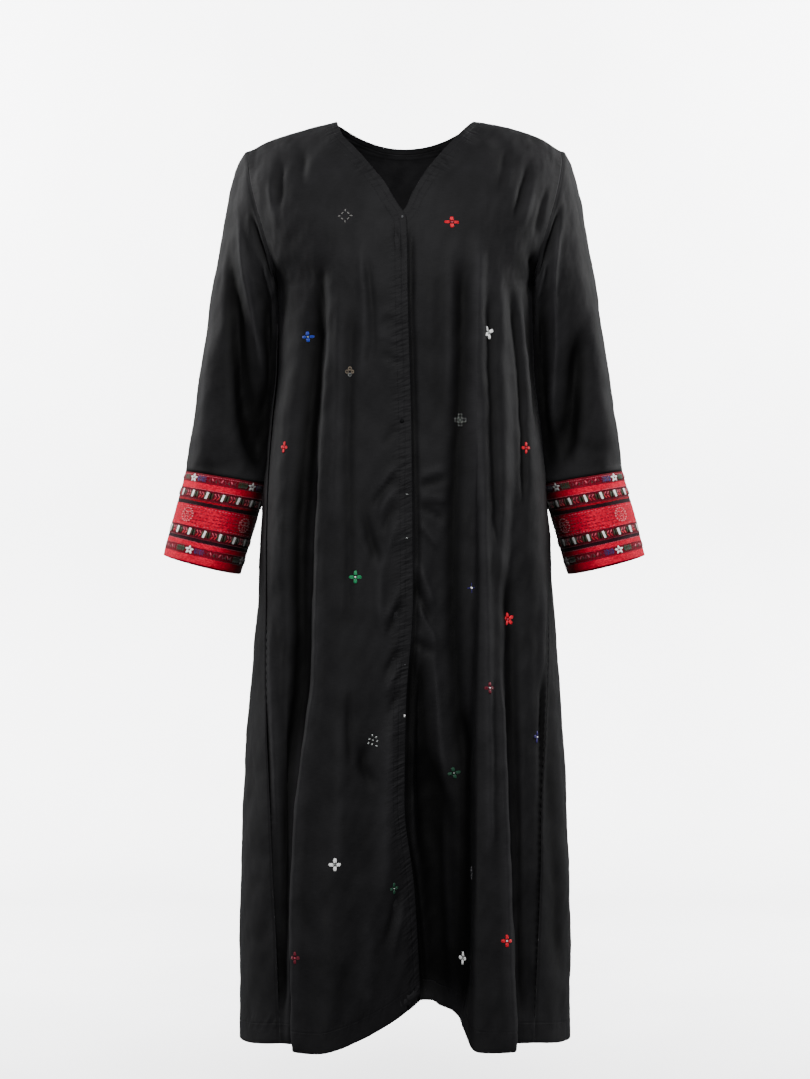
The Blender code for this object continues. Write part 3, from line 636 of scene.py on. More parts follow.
# On the back, the distance round from the centre back towards the wearer's right, and z
BACK_CREASES = table("""
name width depth path
nape_fall 14 -2.1 -4,-60/4,-120/-3,-190
left_blade_fall 18 -3.6 -150,-45/-128,-130/-118,-235
right_blade_fall 17 -3 148,-45/132,-120/116,-215
left_blade_rise 13 2.7 -172,-80/-150,-160/-142,-250
right_blade_rise 14 3 174,-75/154,-155/146,-240
left_arm_pull 18 -2.55 -198,-215/-150,-245/-90,-250
right_arm_pull 19 -2.85 196,-222/150,-258/84,-268
left_arm_lift 15 1.8 -186,-245/-146,-278/-98,-292
waist_fall 18 -3 -30,-330/-38,-460/-26,-590
waist_rise 20 2.85 26,-360/18,-480/34,-610
left_waist_fall 16 -3.3 -118,-380/-130,-500/-148,-640
right_waist_rise 15 3 112,-350/126,-490/138,-620
right_side_pull 15 -2.4 205,-300/182,-350/140,-380
left_side_pull 14 2.1 -208,-310/-180,-345/-138,-365
centre_low_fall 20 -4.2 20,-720/34,-930/40,-1200
centre_low_rise 22 3.9 -42,-700/-56,-940/-50,-1240
left_low_fall 19 -3.9 -188,-690/-214,-920/-226,-1220
left_low_rise 15 3.3 -132,-760/-140,-980/-150,-1260
right_low_fall 18 -3.6 176,-740/196,-950/204,-1230
right_low_rise 20 3.9 246,-680/272,-900/286,-1190
left_side_fall 20 -3.3 -286,-600/-316,-850/-330,-1150
right_side_fall 18 -3.3 318,-640/352,-880/372,-1170
hem_pull 14 -2.4 90,-1130/102,-1220/96,-1305
hem_pull_2 13 -2.25 -262,-1150/-256,-1230/-262,-1305
left_front_fall 22 -3.4 -408,-790/-430,-950/-450,-1120/-460,-1260
""")
PANEL_CREASES = {"front_right": RIGHT_CREASES, "front_left": LEFT_CREASES, "back": BACK_CREASES}
# On a sleeve, the distance round from its outer side towards the front, and down from the armhole
SLEEVE_CREASES = {
    "right": table("""
name width depth path
main_fall 17 -8.4 44,-55/66,-78/84,-105/99,-145/116,-194/132,-240/146,-290
main_rise 8.5 5 46,-22/70,-40/92,-58/108,-82/129,-114/140,-150/148,-190
seam_fall 8 -4.5 79,-14/104,-16/129,-17/157,-18
pocket_lift 6 2.6 124,-22/138,-33/151,-52
inner_fall 15 -6.5 129,-20/142,-52/147,-114/149,-178/148,-236/150,-300
outer_rise 18 2.2 30,-100/46,-194/56,-300
low_fall 12 -1.4 62,-270/74,-320/82,-372
elbow_pull 9 -1 120,-262/86,-286/44,-290
back_fall 15 -3.4 -60,-50/-70,-170/-60,-320
back_rise 14 2.6 -95,-120/-90,-220/-100,-330
back_pull 11 -2.4 -150,-40/-110,-110/-50,-180
"""),
    "left": table("""
name width depth path
main_fall 17 -8.2 70,-108/85,-150/101,-198/116,-244/132,-290
main_rise 8.5 5 66,-10/104,-26/119,-54/117,-111/132,-174/142,-246
seam_fall 8 -4 72,-14/101,-15/126,-16/154,-18
pocket_lift 6 2.6 127,-20/138,-32/151,-52
inner_fall 15 -6.5 141,-33/146,-88/148,-154/148,-223/150,-300
outer_rise 18 2.2 34,-100/44,-194/52,-300
low_fall 11 -1.4 54,-290/62,-336/66,-376
elbow_pull 9 -1 116,-236/80,-262/40,-262
back_fall 15 -3.2 -52,-60/-64,-180/-70,-310
back_rise 13 2.6 -104,-100/-94,-210/-98,-320
back_pull 11 -2.2 -146,-50/-104,-120/-46,-190
"""),
}
# How far the right front's long fold is slid towards the lap: its height below the shoulder, where it lies and
# the shift there, in metres
SLIDES = table("""
down x shift
.15 -.141 0
.32 -.141 .016
.47 -.146 .015
.64 -.149 .012
.83 -.151 .009
.98 -.162 .002
1.1 -.162 0
""")
SLIDE_REACH = 0.036
# A crease fades in and out over this share of its path, or of the longest path that counts, and reaches
# sideways to this many of its widths
CREASE_FADE = 0.35
LONGEST_FADING_PATH = 0.2
CREASE_REACH = 3
# Creases and rumples fade towards a seam, and to this share of their height at a free edge
SEAM_FADE = 0.015
EDGE_FADE = 0.012
EDGE_SHARE = 0.25
# How many times the panels' profiles are softened from column to column
PROFILE_SOFTENING = 9

# Fine rumples left by long use, as noise: wavelength in metres and height in millimetres
RUMPLES = ((0.070, 0.80), (0.026, 0.42), (0.012, 0.17))
RUMPLE_WAVES = 14
RUMPLE_UPRIGHTNESS = 0.55
CUFF_RUMPLES = 0.5
CUFF_RUMPLE_FADE = 0.01

# The shells' rows and columns; the armhole's rows are a sleeve's columns too
ARMHOLE_ROWS = 60
ROWS_BELOW = 190
PANEL_COLUMNS = {"front_right": 96, "front_left": 96, "back": 180}
BEND_ROWS = 4
SLEEVE_ROWS = 100
CUFF_ROWS = 36
ROLL_STEPS = 4
# A turned-in edge keeps every second row of its panel at the hem, and every third column at a front's edge
HEM_SKIP, FACING_SKIP = 2, 3
ROLL_RADIUS = 1.25  # of the cloth's thickness

# Round distances on a sleeve and a cuff are its turn times these
SLEEVE_RADIUS = 0.060
CUFF_LENGTH = 0.1318
CUFF_GIRTH = 0.372
CUFF_THICKNESS = 0.0010
CUFF_HEM = 0.020
# How far a cuff stands proud of its solid, and how much lower the back of its lower edge hangs
CUFF_PROUD = 0.00025
CUFF_BACK_DROP = 0.006

# The shoulder tips are sunk, and the sleeves' inner sides laid on the body down to where they leave it
TIP_REACH = 0.022
TIP_SINK = 0.0036
SLEEVE_CLEAR = -0.0008
SLEEVE_LEAVES = 0.52
SLEEVE_LEAVING = 0.06
LAID_START = 0.004
LAID_REACH = 0.8
FARTHEST_LAID = 0.020

# Where a stud's tacks show on the lap, seen as the flowers are, in metres
TACKS = table("""
name seen_x seen_z width height colour
neck_tack -.004 -.139 .003 .005 steel
ring_1 -.0045 -.4395 .0068 .0068 black
dot_1 -.0045 -.4395 .003 .003 white
tack_2 .003 -.547 .0038 .0016 silver
tack_3 .003 -.6115 .0038 .0016 silver
tack_4 0 -.798 .0018 .0026 steel
tack_5 -.0006 -.873 .0026 .0046 white
""")

TACK_HEIGHT = 0.0011
STUD_COUNT = 6

# Lines of stitches: how far in from a front's edge and up from the hem's turned depth, and each stitch's size
EDGE_STITCH = 0.017
HEM_STITCH = 0.002
STITCH_PITCH = 0.0034
STITCH_LENGTH = 0.0027
STITCH_WIDTH = 0.0006
STITCH_HEIGHT = 0.55  # of its width
SHORTEST_STITCH = 0.88  # of its length

# Each panel's cut, seams and turned edges in it: flat is its width and length in metres, area in square metres
CLOTH_CUTS = table("""
name flat area rests_on with_pieces
back_cloth 1.02,1.39 1.08 , back_flowers,back_stitches
front_right_cloth .42,1.39 .41 back_cloth, front_right_flowers,front_right_stitches
front_left_cloth .44,1.39 .43 back_cloth, front_left_flowers,front_left_stitches
sleeve_right_cloth .44,.5 .145 back_cloth,front_right_cloth ,
sleeve_left_cloth .44,.5 .145 back_cloth,front_left_cloth ,
cuff_right_band .385,.155 - sleeve_right_cloth, cuff_right_embroidery,
cuff_left_band .385,.155 - sleeve_left_cloth, cuff_left_embroidery,
""")

# Scattered flowers: seen_x and seen_z are where they show on the plane y = 0, in metres; wide and high are
# shares of the flower size
FRONT_MOTIFS = table("""
kind colour middle seen_x seen_z turn wide high
diamond pewter pewter -.088 -.138 0 .92 .92
cross red pink .069 -.147 0 1.12 .86
cross blue silver -.143 -.316 4 1.02 .78
cross white silver .122 -.31 24 .92 1
rings sand silver -.081 -.367 0 .84 .84
beaded silver silver .081 -.438 0 .92 .92
cross red pink -.178 -.478 -5 .62 .86
cross red pink .178 -.479 0 .66 .86
cross green white -.073 -.669 0 .96 .96
bead indigo white .098 -.685 4 .7 .8
star red pink .151 -.731 8 1 .96
cross maroon white .125 -.832 0 .92 .84
ovals silver silver -.047 -.91 10 .94 .94
cross indigo white .194 -.904 -8 .62 .9
cross dark_green silver .072 -.957 12 .98 .86
cross white silver -.103 -1.092 0 .94 .94
cross dark_green silver -.016 -1.127 5 .72 .86
diamond steel steel .098 -1.104 0 .5 .8
cross maroon pink -.162 -1.229 0 .72 .9
cross white silver .085 -1.229 -6 .72 .96
cross red white .15 -1.204 0 .9 .9
""")
BACK_MOTIFS = table("""
kind colour middle seen_x seen_z turn wide high
cross red pink -.085 -.16 0 1.08 .88
diamond pewter pewter .092 -.205 8 .92 .92
cross white silver -.014 -.3 -20 .92 .96
cross indigo white .135 -.395 0 .96 .86
rings sand silver -.12 -.37 0 .84 .84
cross blue silver -.045 -.505 10 .98 .82
star red pink .068 -.585 0 .98 .96
cross green white -.15 -.6 -8 .94 .94
ovals silver silver .01 -.7 0 .94 .94
cross maroon white .165 -.745 5 .92 .86
cross white silver -.09 -.8 0 .94 .94
cross dark_green silver .05 -.88 -5 .96 .86
cross blue silver -.18 -.94 0 .94 .84
cross red pink -.02 -1.02 12 .98 .9
beaded silver silver .13 -1.03 0 .92 .92
cross indigo white -.11 -1.12 0 .92 .88
cross white silver .06 -1.18 -8 .94 .94
cross maroon pink .19 -1.21 0 .9 .9
cross red pink -.175 -1.235 6 .94 .9
""")

THREADS = {row.name: row.colour for row in table("""
name colour
red .56,.006,.02
maroon .11,.004,.014
pink .52,.07,.11
rose .62,.16,.18
blue .012,.035,.3
indigo .022,.014,.11
steel .05,.05,.054
pewter .15,.145,.14
sand .28,.225,.165
plum .06,.008,.06
olive .026,.032,.01
white .8,.8,.78
green .012,.19,.07
dark_green .008,.042,.022
black .0036,.0036,.004
gold .52,.38,.19
silver .42,.44,.43
""")}
METALLIC_THREADS = ("gold", "silver")

STUDIO_LAMPS = table("""
name place aim size power
side_left -1.2,-3.3,1.5 0,0,-.15 .6,1 88
side_right 1.2,-3.3,1.5 0,0,-.15 .6,1 82
front_high 0,-3.2,1.8 0,0,-.1 1,.6 190
wall_left -2.4,1.2,1 -.9,3.4,-.3 1.6,2.4 620
wall_right 2.4,1.2,1 .9,3.4,-.3 1.6,2.4 620
""")
# Rows of running stitches on a cuff's wide band: place as a share of its length, and colour
WIDE_BAND_ROWS = table("""
place colour
.385 pink
.412 maroon
.45 maroon
.488 maroon
.526 maroon
.562 maroon
.592 pink
""")
# Couched cords round a cuff, in the same way
CUFF_CORDS = table("""
place colour
.022 pink
.104 maroon
.176 pink
.298 maroon
.364 maroon
.606 maroon
.728 maroon
.772 pink
.824 maroon
.917 maroon
""")

# The camera, and half the height that it sees on the plane y = 0
CAMERA_PLACE = (0.0, -3.6, -0.6137)
HALF_VIEW_HEIGHT = 0.793
# The floor runs up into a wall: half its width, the wall's height, and the curve between them
FLOOR_REACH = 8.0
WALL_HEIGHT = 9.0
COVE_RADIUS = 1.0
COVE_STEPS = 12
# Share of its light that the paper throws back on the cloth
PAPER_BOUNCE = 0.06


# Meshes


def linked(name, data):
    obj = bpy.data.objects.new(name, data)
    bpy.context.scene.collection.objects.link(obj)
    return obj


def new_object(name, mesh, materials):
    for material in materials:
        mesh.materials.append(material)
    return linked(name, mesh)


def grid_sheet(name, points, normals, lengths, values, materials, closed=False):
    """A cloth sheet on rows and columns of points, facing along normals, with a UV map in metres and the
    named values as point attributes. A closed sheet's last column lies on its first."""
    rows, columns = points.shape[:2]
    bm = bmesh.new()
    bm.loops.layers.uv.new("UVMap")
    bmesh.ops.create_grid(bm, x_segments=columns - 1, y_segments=rows - 1, size=0.5, calc_uvs=True)
    mesh = bpy.data.meshes.new(name)
    bm.to_mesh(mesh)
    bm.free()
    flat = np.empty(len(mesh.vertices) * 3)
    mesh.vertices.foreach_get("co", flat)
    flat = flat.reshape(-1, 3)
    j = np.rint((flat[:, 0] + 0.5) * (columns - 1)).astype(int)
    i = np.rint((0.5 - flat[:, 1]) * (rows - 1)).astype(int)
    mesh.vertices.foreach_set("co", points[i, j].ravel())
    corner = np.empty(len(mesh.loops), dtype=np.int32)
    mesh.loops.foreach_get("vertex_index", corner)
    mesh.uv_layers["UVMap"].uv.foreach_set("vector", lengths[i, j][corner].astype(np.float32).ravel())
    for key, value in values.items():
        layer = mesh.attributes.new(key, "FLOAT", "POINT")
        layer.data.foreach_set("value", value[i, j].astype(np.float32))
    mesh.update()
    middle = (rows // 2, columns // 2)
    along = points[middle[0], middle[1] + 1] - points[middle]
    below = points[middle[0] + 1, middle[1]] - points[middle]
    inside_out = float(np.cross(below, along) @ normals[middle]) < 0
    if closed or inside_out:
        bm = bmesh.new()
        bm.from_mesh(mesh)
        if closed:
            bmesh.ops.remove_doubles(bm, verts=bm.verts, dist=1e-5)
        if inside_out:
            bmesh.ops.reverse_faces(bm, faces=bm.faces)
        bm.to_mesh(mesh)
        bm.free()
    mesh.shade_smooth()
    return new_object(name, mesh, materials)


def thicken(obj, thickness):
    """Gives a sheet its thickness, inwards from the outer face."""
    wall = obj.modifiers.new("thickness", "SOLIDIFY")
    wall.thickness = thickness
    wall.offset = -1.0
    wall.use_rim = True
    wall.use_even_offset = False


def sheet_normals(points, outward, closed=False):
    """Normals of a sheet of points, on the side of outward."""
    if closed:
        ring = points[:, :-1]
        across = np.roll(ring, -1, axis=1) - np.roll(ring, 1, axis=1)
        across = np.concatenate([across, across[:, :1]], axis=1)
    else:
        across = np.gradient(points, axis=1)
    normal = np.cross(across, np.gradient(points, axis=0))
    normal = unit(normal + 1e-15)
    side = np.where(np.sum(normal * outward, axis=-1) < 0, -1.0, 1.0)
    return normal * side[..., None]


def distance_to_line(points, line):
    """Distance of every point to the nearest point of a line."""
    flat = points.reshape(-1, 3)
    best = np.full(len(flat), np.inf)
    for point in line:
        best = np.minimum(best, np.sum((flat - point) ** 2, axis=1))
    return np.sqrt(best).reshape(points.shape[:-1])


def rounded_path(path):
    """A crease's path with its corners cut twice, at a quarter of each leg, and its ends kept."""
    for _ in range(2):
        near = path[:-1] * 0.75 + path[1:] * 0.25
        far = path[:-1] * 0.25 + path[1:] * 0.75
        cut = np.stack([near, far], axis=1).reshape(-1, 2)
        path = np.concatenate([path[:1], cut[1:-1], path[-1:]])
    return path


def crease_heights(at, creases):
    """Height in metres that soft troughs and ridges give a sheet, from its places at."""
    total = np.zeros(at.shape[:-1])
    for crease in creases:
        line = rounded_path(np.array(crease.path) / 1000)
        width = crease.width / 1000
        legs = np.diff(line, axis=0)
        lengths = np.linalg.norm(legs, axis=1)
        passed = np.concatenate([[0.0], np.cumsum(lengths)])
        reach = CREASE_REACH * width
        near = np.all((at > line.min(axis=0) - reach) & (at < line.max(axis=0) + reach), axis=-1)
        spots = at[near]
        best = np.full(len(spots), np.inf)
        along = np.zeros(len(spots))
        for step, leg in enumerate(legs):
            part = np.clip((spots - line[step]) @ leg / (leg @ leg), 0.0, 1.0)
            gap = np.sum((spots - line[step] - part[:, None] * leg) ** 2, axis=1)
            closer = gap < best
            best = np.where(closer, gap, best)
            along = np.where(closer, passed[step] + part * lengths[step], along)
        faded_over = CREASE_FADE * min(passed[-1], LONGEST_FADING_PATH)
        fade = ease(np.minimum(along, passed[-1] - along) / faded_over)
        total[near] += crease.depth / 1000 * fade * np.exp(-best / width**2)
    return total


def rumple_heights(points):
    """Fine uneven height of cloth long in use, from smooth noise summed from waves of fixed random directions."""
    draw = random.Random(7)
    total = np.zeros(points.shape[:-1])
    for wavelength, height in RUMPLES:
        for _ in range(RUMPLE_WAVES):
            heading = np.array([draw.gauss(0, 1) for _ in range(3)]) * (1, 1, RUMPLE_UPRIGHTNESS)
            heading *= 2 * math.pi / wavelength * draw.uniform(0.6, 1.4) / np.linalg.norm(heading)
            total += np.sin(points @ heading + draw.uniform(0, 6.28)) * height / 1000 / math.sqrt(RUMPLE_WAVES)
    return total


def turned_under(points, normals, depth, radius, skip):
    """Rows to add below the last one: the cloth rolls under its edge and runs back inside."""
    edge = points[-1]
    away = unit(points[-1] - points[-2])
    rows = []
    facing = []
    for step in range(1, ROLL_STEPS + 1):
        turn = math.pi * step / ROLL_STEPS
        out = math.cos(turn)
        rows.append(edge - normals[-1] * radius * (1 - out) + away * radius * math.sin(turn))
        facing.append(normals[-1] * out + away * math.sin(turn))
    mean = np.linalg.norm(np.diff(points, axis=0), axis=-1).mean(axis=1)[::-1]
    reach = 0.0
    for back, step in enumerate(mean, start=1):
        reach += step
        if reach > depth:
            break
        if back % skip == 0:
            rows.append(points[-1 - back] - normals[-1 - back] * 2 * radius)
            facing.append(-normals[-1 - back])
    return np.array(rows), np.array(facing)


def grid_lengths(points):
    """Distance along each row and down each column from the first, in metres, as UV."""
    across = np.linalg.norm(np.diff(points, axis=1), axis=-1)
    down = np.linalg.norm(np.diff(points, axis=0), axis=-1)
    u = np.concatenate([np.zeros((len(points), 1)), np.cumsum(across, axis=1)], axis=1)
    v = np.concatenate([np.zeros((1, points.shape[1])), np.cumsum(down, axis=0)], axis=0)
    middle = points.shape[1] // 2
    return u, -np.repeat(v[:, middle : middle + 1], points.shape[1], axis=1)


Shell = namedtuple("Shell", "points normals u v from_seam from_edge from_hem raised")


def shell_downs():
    armhole = [ARMPIT * (1 - math.cos(math.pi * i / ARMHOLE_ROWS)) / 2 for i in range(ARMHOLE_ROWS)]
    return armhole + list(np.linspace(ARMPIT, LENGTH, ROWS_BELOW + 1))


def slid_across(points):
    """The right front with its long fold slid towards the lap between the chest and the knee."""
    down = -points[..., 2]
    centre = np.interp(down, column(SLIDES, "down"), column(SLIDES, "x"))
    shift = np.interp(down, column(SLIDES, "down"), column(SLIDES, "shift"))
    near = np.exp(-(((points[..., 0] - centre) / SLIDE_REACH) ** 2))
    points = points.copy()
    points[..., 0] += shift * near
    return points


def panel_shell(piece, crease_scale):
    """The draped outer surface of a panel, as rows and columns."""
    downs = shell_downs()
    across = np.linspace(0.0, 1.0, PANEL_COLUMNS[piece.name] + 1)
    rows = [panel_row(piece, down, across) for down in downs]
    points = np.array([row[0] for row in rows])
    outward = np.array([row[1] for row in rows])
    normals = sheet_normals(points, outward)
    normals[0] = outward[0]
    below = downs.index(ARMPIT)
    seams = [points[:, -1], points[0]]
    if piece.with_neck:
        on_shoulder = np.abs(points[0, :, 0]) > NECK_HALF
        seams = [points[:, -1], points[:, 0], points[0, on_shoulder]]
        edges = points[0, ~on_shoulder]
    else:
        edges = points[:, 0]
    from_seam = np.minimum.reduce([distance_to_line(points, line[::2]) for line in seams])
    from_edge = distance_to_line(points, edges)
    from_hem = np.linalg.norm(np.diff(points, axis=0), axis=-1)
    from_hem = np.concatenate([np.cumsum(from_hem[::-1], axis=0)[::-1], np.zeros((1, len(across)))])
    u, v = grid_lengths(points)
    if piece.with_neck:
        middle = len(across) // 2
        u = u - u[:, middle : middle + 1]
        at = np.stack([-u, points[..., 2]], axis=-1)
    else:
        at = points[..., (0, 2)]
    if piece.name == "front_right":
        points = slid_across(points)
    for _ in range(PROFILE_SOFTENING):
        points[:, 1:-1] = (points[:, :-2] + 2 * points[:, 1:-1] + points[:, 2:]) / 4
    raised = crease_heights(at, PANEL_CREASES[piece.name]) * crease_scale
    keep = ease(from_seam / SEAM_FADE) * (EDGE_SHARE + (1 - EDGE_SHARE) * ease(from_edge / EDGE_FADE))
    height = (raised + rumple_heights(points)) * keep
    points = rounded_tips(points + normals * height[..., None])
    normals = sheet_normals(points, outward)
    normals[0] = outward[0]
    return Shell(points, normals, u, v, from_seam, from_edge, from_hem, raised)


def turn_edge(shell, depth, radius, at_hem=True):
    """A shell with rows added that turn in its hem, or else a front's inner edge: the neck and the lap."""

    def swap(values):
        return values if at_hem else np.swapaxes(values, 0, 1)[::-1]

    def back(values):
        return values if at_hem else np.swapaxes(values[::-1], 0, 1)

    points, normals = swap(shell.points), swap(shell.normals)
    rows, facing = turned_under(points, normals, depth, radius, HEM_SKIP if at_hem else FACING_SKIP)
    points = np.concatenate([points, rows])
    normals = np.concatenate([normals, facing])
    steps = np.linalg.norm(np.diff(points[-len(rows) - 1 :], axis=0), axis=-1).mean(axis=1)
    reach = np.cumsum(steps)[:, None]
    changes = {"v": -1, "from_hem": -1} if at_hem else {"u": -1}
    added = []
    for name in Shell._fields[2:]:
        values = swap(getattr(shell, name))
        last = values[-1:] * 0 if at_hem and name == "raised" else values[-1:]
        added.append(back(np.concatenate([values, last + reach * changes.get(name, 0)])))
    return Shell(back(points), back(normals), *added)


def shell_object(name, shell, materials, thickness, closed=False):
    values = {name: getattr(shell, name) for name in ("from_seam", "from_edge", "from_hem")}
    values["raised"] = shell.raised * 1000  # in millimetres
    lengths = np.stack([shell.u, shell.v], axis=-1)
    obj = grid_sheet(name, shell.points, shell.normals, lengths, values, materials, closed)
    thicken(obj, thickness)
    return obj


def rounded_tips(points):
    """The shoulder tips sunk a little, so that the seams there round over."""
    for side in SIDES.values():
        tip = armhole_point(side, 0.0)[0]
        near = np.exp(-np.sum((points - tip) ** 2, axis=-1) / TIP_REACH**2)[..., None]
        points = points + near * (-side * TIP_SINK, 0.0, -TIP_SINK)
    return points


def laid_on_body(points, turns, word):
    """A sleeve's inner side laid against the body's side, from under the arm down."""
    front = SHELLS["front_" + word].points
    side = np.abs(front[..., 0]).argmax(axis=1)
    rows = np.arange(len(front))
    order = np.argsort(front[rows, side, 2])
    inner = points[:, ARMHOLE_ROWS]
    reach = np.interp(inner[:, 2], front[rows, side, 2][order], np.abs(front[rows, side, 0])[order])
    gap = np.clip(np.abs(inner[:, 0]) - reach - SLEEVE_CLEAR, 0.0, FARTHEST_LAID)
    gap *= ease((-ARMPIT - inner[:, 2]) / LAID_START) * ease((inner[:, 2] + SLEEVE_LEAVES) / SLEEVE_LEAVING)
    inwards = np.exp(-(((turns - math.pi) / LAID_REACH) ** 2))
    points[..., 0] -= np.sign(inner[:, 0])[:, None] * gap[:, None] * inwards
    return points


def sleeve_shell(word, side, crease_scale):
    turns = np.array([math.pi * i / ARMHOLE_ROWS for i in range(2 * ARMHOLE_ROWS + 1)])
    bends = [BEND_SHARE * i / BEND_ROWS for i in range(BEND_ROWS)]
    runs = [BEND_SHARE + (1 - BEND_SHARE) * i / SLEEVE_ROWS for i in range(SLEEVE_ROWS + 1)]
    points = np.array([sleeve_point(side, turns, along) for along in bends + runs])
    points[:, -1] = points[:, 0]
    outward = points - points.mean(axis=1, keepdims=True)
    normals = sheet_normals(points, outward, closed=True)
    normals[:, -1] = normals[:, 0]
    u, v = grid_lengths(points)
    round_arm = (turns + math.pi) % (2 * math.pi) - math.pi
    at = np.stack([np.tile(round_arm * SLEEVE_RADIUS, (len(points), 1)), v], axis=-1)
    raised = crease_heights(at, SLEEVE_CREASES[word]) * crease_scale
    from_seam = distance_to_line(points, points[0])
    from_cuff = distance_to_line(points, points[-1])
    height = (raised + rumple_heights(points)) * ease(from_seam / SEAM_FADE) * ease(from_cuff / SEAM_FADE)
    points = rounded_tips(points + normals * height[..., None])
    points = laid_on_body(points, turns, word)
    points[:, -1] = points[:, 0]
    normals = sheet_normals(points, outward, closed=True)
    far = np.full(from_seam.shape, 1.0)
    return Shell(points, normals, u, v, np.minimum(from_seam, from_cuff), far, far, raised)


def cuff_surface(side, turn, drop):
    """Points of the cuff's outer face and their normals, at turns round it and distances down it."""
    turn = np.asarray(turn, float)
    share = np.asarray(drop, float) / CUFF_LENGTH
    end = CuffEnd(*[a + (b - a) * share for a, b in zip(CUFF_TOP, CUFF_BOTTOM)])
    wide = end._replace(half_width=end.half_width + CUFF_PROUD, half_depth=end.half_depth + CUFF_PROUD)
    point = cuff_oval(wide, side, turn)
    point[..., 2] -= CUFF_BACK_DROP * np.clip(-np.sin(turn), 0.0, 1.0) * np.clip(share, 0.0, 1.0)
    across = np.cos(turn) / wide.half_width
    forward = np.sin(turn) / wide.half_depth
    normal = np.stack([side * across * math.cos(CUFF_LEAN), -forward, across * math.sin(CUFF_LEAN)], axis=-1)
    return point, unit(normal)


def cuff_shell(side):
    turns = np.linspace(0.0, 2 * math.pi, 2 * ARMHOLE_ROWS + 1)
    drops = np.linspace(0.0, CUFF_LENGTH, CUFF_ROWS + 1)
    pairs = [cuff_surface(side, turns, np.full(len(turns), drop)) for drop in drops]
    points = np.array([pair[0] for pair in pairs])
    normals = np.array([pair[1] for pair in pairs])
    wave = rumple_heights(points) * CUFF_RUMPLES
    wave *= (ease(drops / CUFF_RUMPLE_FADE) * ease((CUFF_LENGTH - drops) / CUFF_RUMPLE_FADE))[:, None]
    points = points + normals * wave[..., None]
    points[:, -1] = points[:, 0]
    u = np.tile(turns / (2 * math.pi) * CUFF_GIRTH, (len(drops), 1))
    v = np.tile(-drops[:, None], (1, len(turns)))
    from_seam = np.tile(drops[:, None], (1, len(turns)))
    from_hem = CUFF_LENGTH - from_seam
    far = np.full(from_seam.shape, 1.0)
    return Shell(points, normals, u, v, from_seam, far, from_hem, wave)


# Materials


def node(tree, kind, inputs=None, **settings):
    """A shader node; inputs are values or sockets by name or number."""
    made = tree.nodes.new(kind)
    for key, value in settings.items():
        setattr(made, key, value)
    for key, value in (inputs or {}).items():
        if isinstance(value, bpy.types.NodeSocket):
            tree.links.new(value, made.inputs[key])
        else:
            made.inputs[key].default_value = value
    return made


def maths(tree, operation, a, b=0.0):
    return node(tree, "ShaderNodeMath", {0: a, 1: b}, operation=operation).outputs[0]


def times(tree, a, b):
    return maths(tree, "MULTIPLY", a, b)


def plus(tree, a, b):
    return maths(tree, "ADD", a, b)


def less(tree, a, b):
    return maths(tree, "SUBTRACT", a, b)


def over(tree, a, b):
    return maths(tree, "DIVIDE", a, b)


def bell(tree, value, centre, width):
    """A soft peak of height 1 where value is centre."""
    off = over(tree, less(tree, value, centre), width)
    return maths(tree, "EXPONENT", times(tree, times(tree, off, off), -1.0))


def noise(tree, place, scale, detail):
    inputs = {"Vector": place, "Scale": scale, "Detail": detail}
    return node(tree, "ShaderNodeTexNoise", inputs).outputs["Fac"]


def vector(tree, x, y, z=0.0):
    return node(tree, "ShaderNodeCombineXYZ", {0: x, 1: y, 2: z}).outputs[0]


def split(tree, place):
    return node(tree, "ShaderNodeSeparateXYZ", {0: place}).outputs


def vector_maths(tree, operation, a, b):
    return node(tree, "ShaderNodeVectorMath", {0: a, 1: b}, operation=operation).outputs[0]


def grey(value):
    return (value,) * 3


def scaled(colour, scale):
    return tuple(min(1.0, channel * scale) for channel in colour)


def attribute(tree, name):
    return node(tree, "ShaderNodeAttribute", attribute_name=name).outputs["Fac"]


def own_uv(tree):
    return node(tree, "ShaderNodeUVMap", uv_map="UVMap").outputs["UV"]


def object_place(tree):
    return node(tree, "ShaderNodeTexCoord").outputs["Object"]


def new_group(name, inputs, outputs):
    """An effect that materials share: inputs by name with their values, or None for a place."""
    group = bpy.data.node_groups.new(name, "ShaderNodeTree")
    for label, value in inputs.items():
        kind = "NodeSocketVector" if value is None else "NodeSocketFloat"
        socket = group.interface.new_socket(name=label, in_out="INPUT", socket_type=kind)
        if value is not None:
            socket.default_value = value
    for label in outputs:
        group.interface.new_socket(name=label, in_out="OUTPUT", socket_type="NodeSocketFloat")
    return group, group.nodes.new("NodeGroupInput").outputs, group.nodes.new("NodeGroupOutput").inputs


def use_group(tree, make, inputs):
    """Outputs of an effect in a material; it is made the first time."""
    group = bpy.data.node_groups.get(make.__name__) or make(make.__name__)
    return node(tree, "ShaderNodeGroup", inputs, node_tree=group).outputs


# Cloth threads: cycles to the metre of their bends, their unevenness and their slubs, and how far they bend, in
# pitches
THREAD_BENDS, THREAD_GRAIN, SLUB_CYCLES = 260.0, 900.0, (90.0, 900.0, 90.0)
THREAD_SWAY = 3.0
# Gathers beside a stitched line: how they slant, their change per metre away from the line, how often they come
# and go along it, the range of their strength, and the groove along the line itself, in metres and as a share
GATHER_SLANT, GATHER_CHANGE, GATHER_FADES = 0.35, 40.0, 0.13
GATHER_RANGE, GATHER_LEAST = 1.4, -0.1
GROOVE_WIDTH, GROOVE_DEPTH = 0.0011, 0.10
# Satin threads: cycles to the metre of their bends and of the lighter threads
SATIN_BENDS, SATIN_CYCLES = 500.0, (1800.0, 160.0, 160.0)


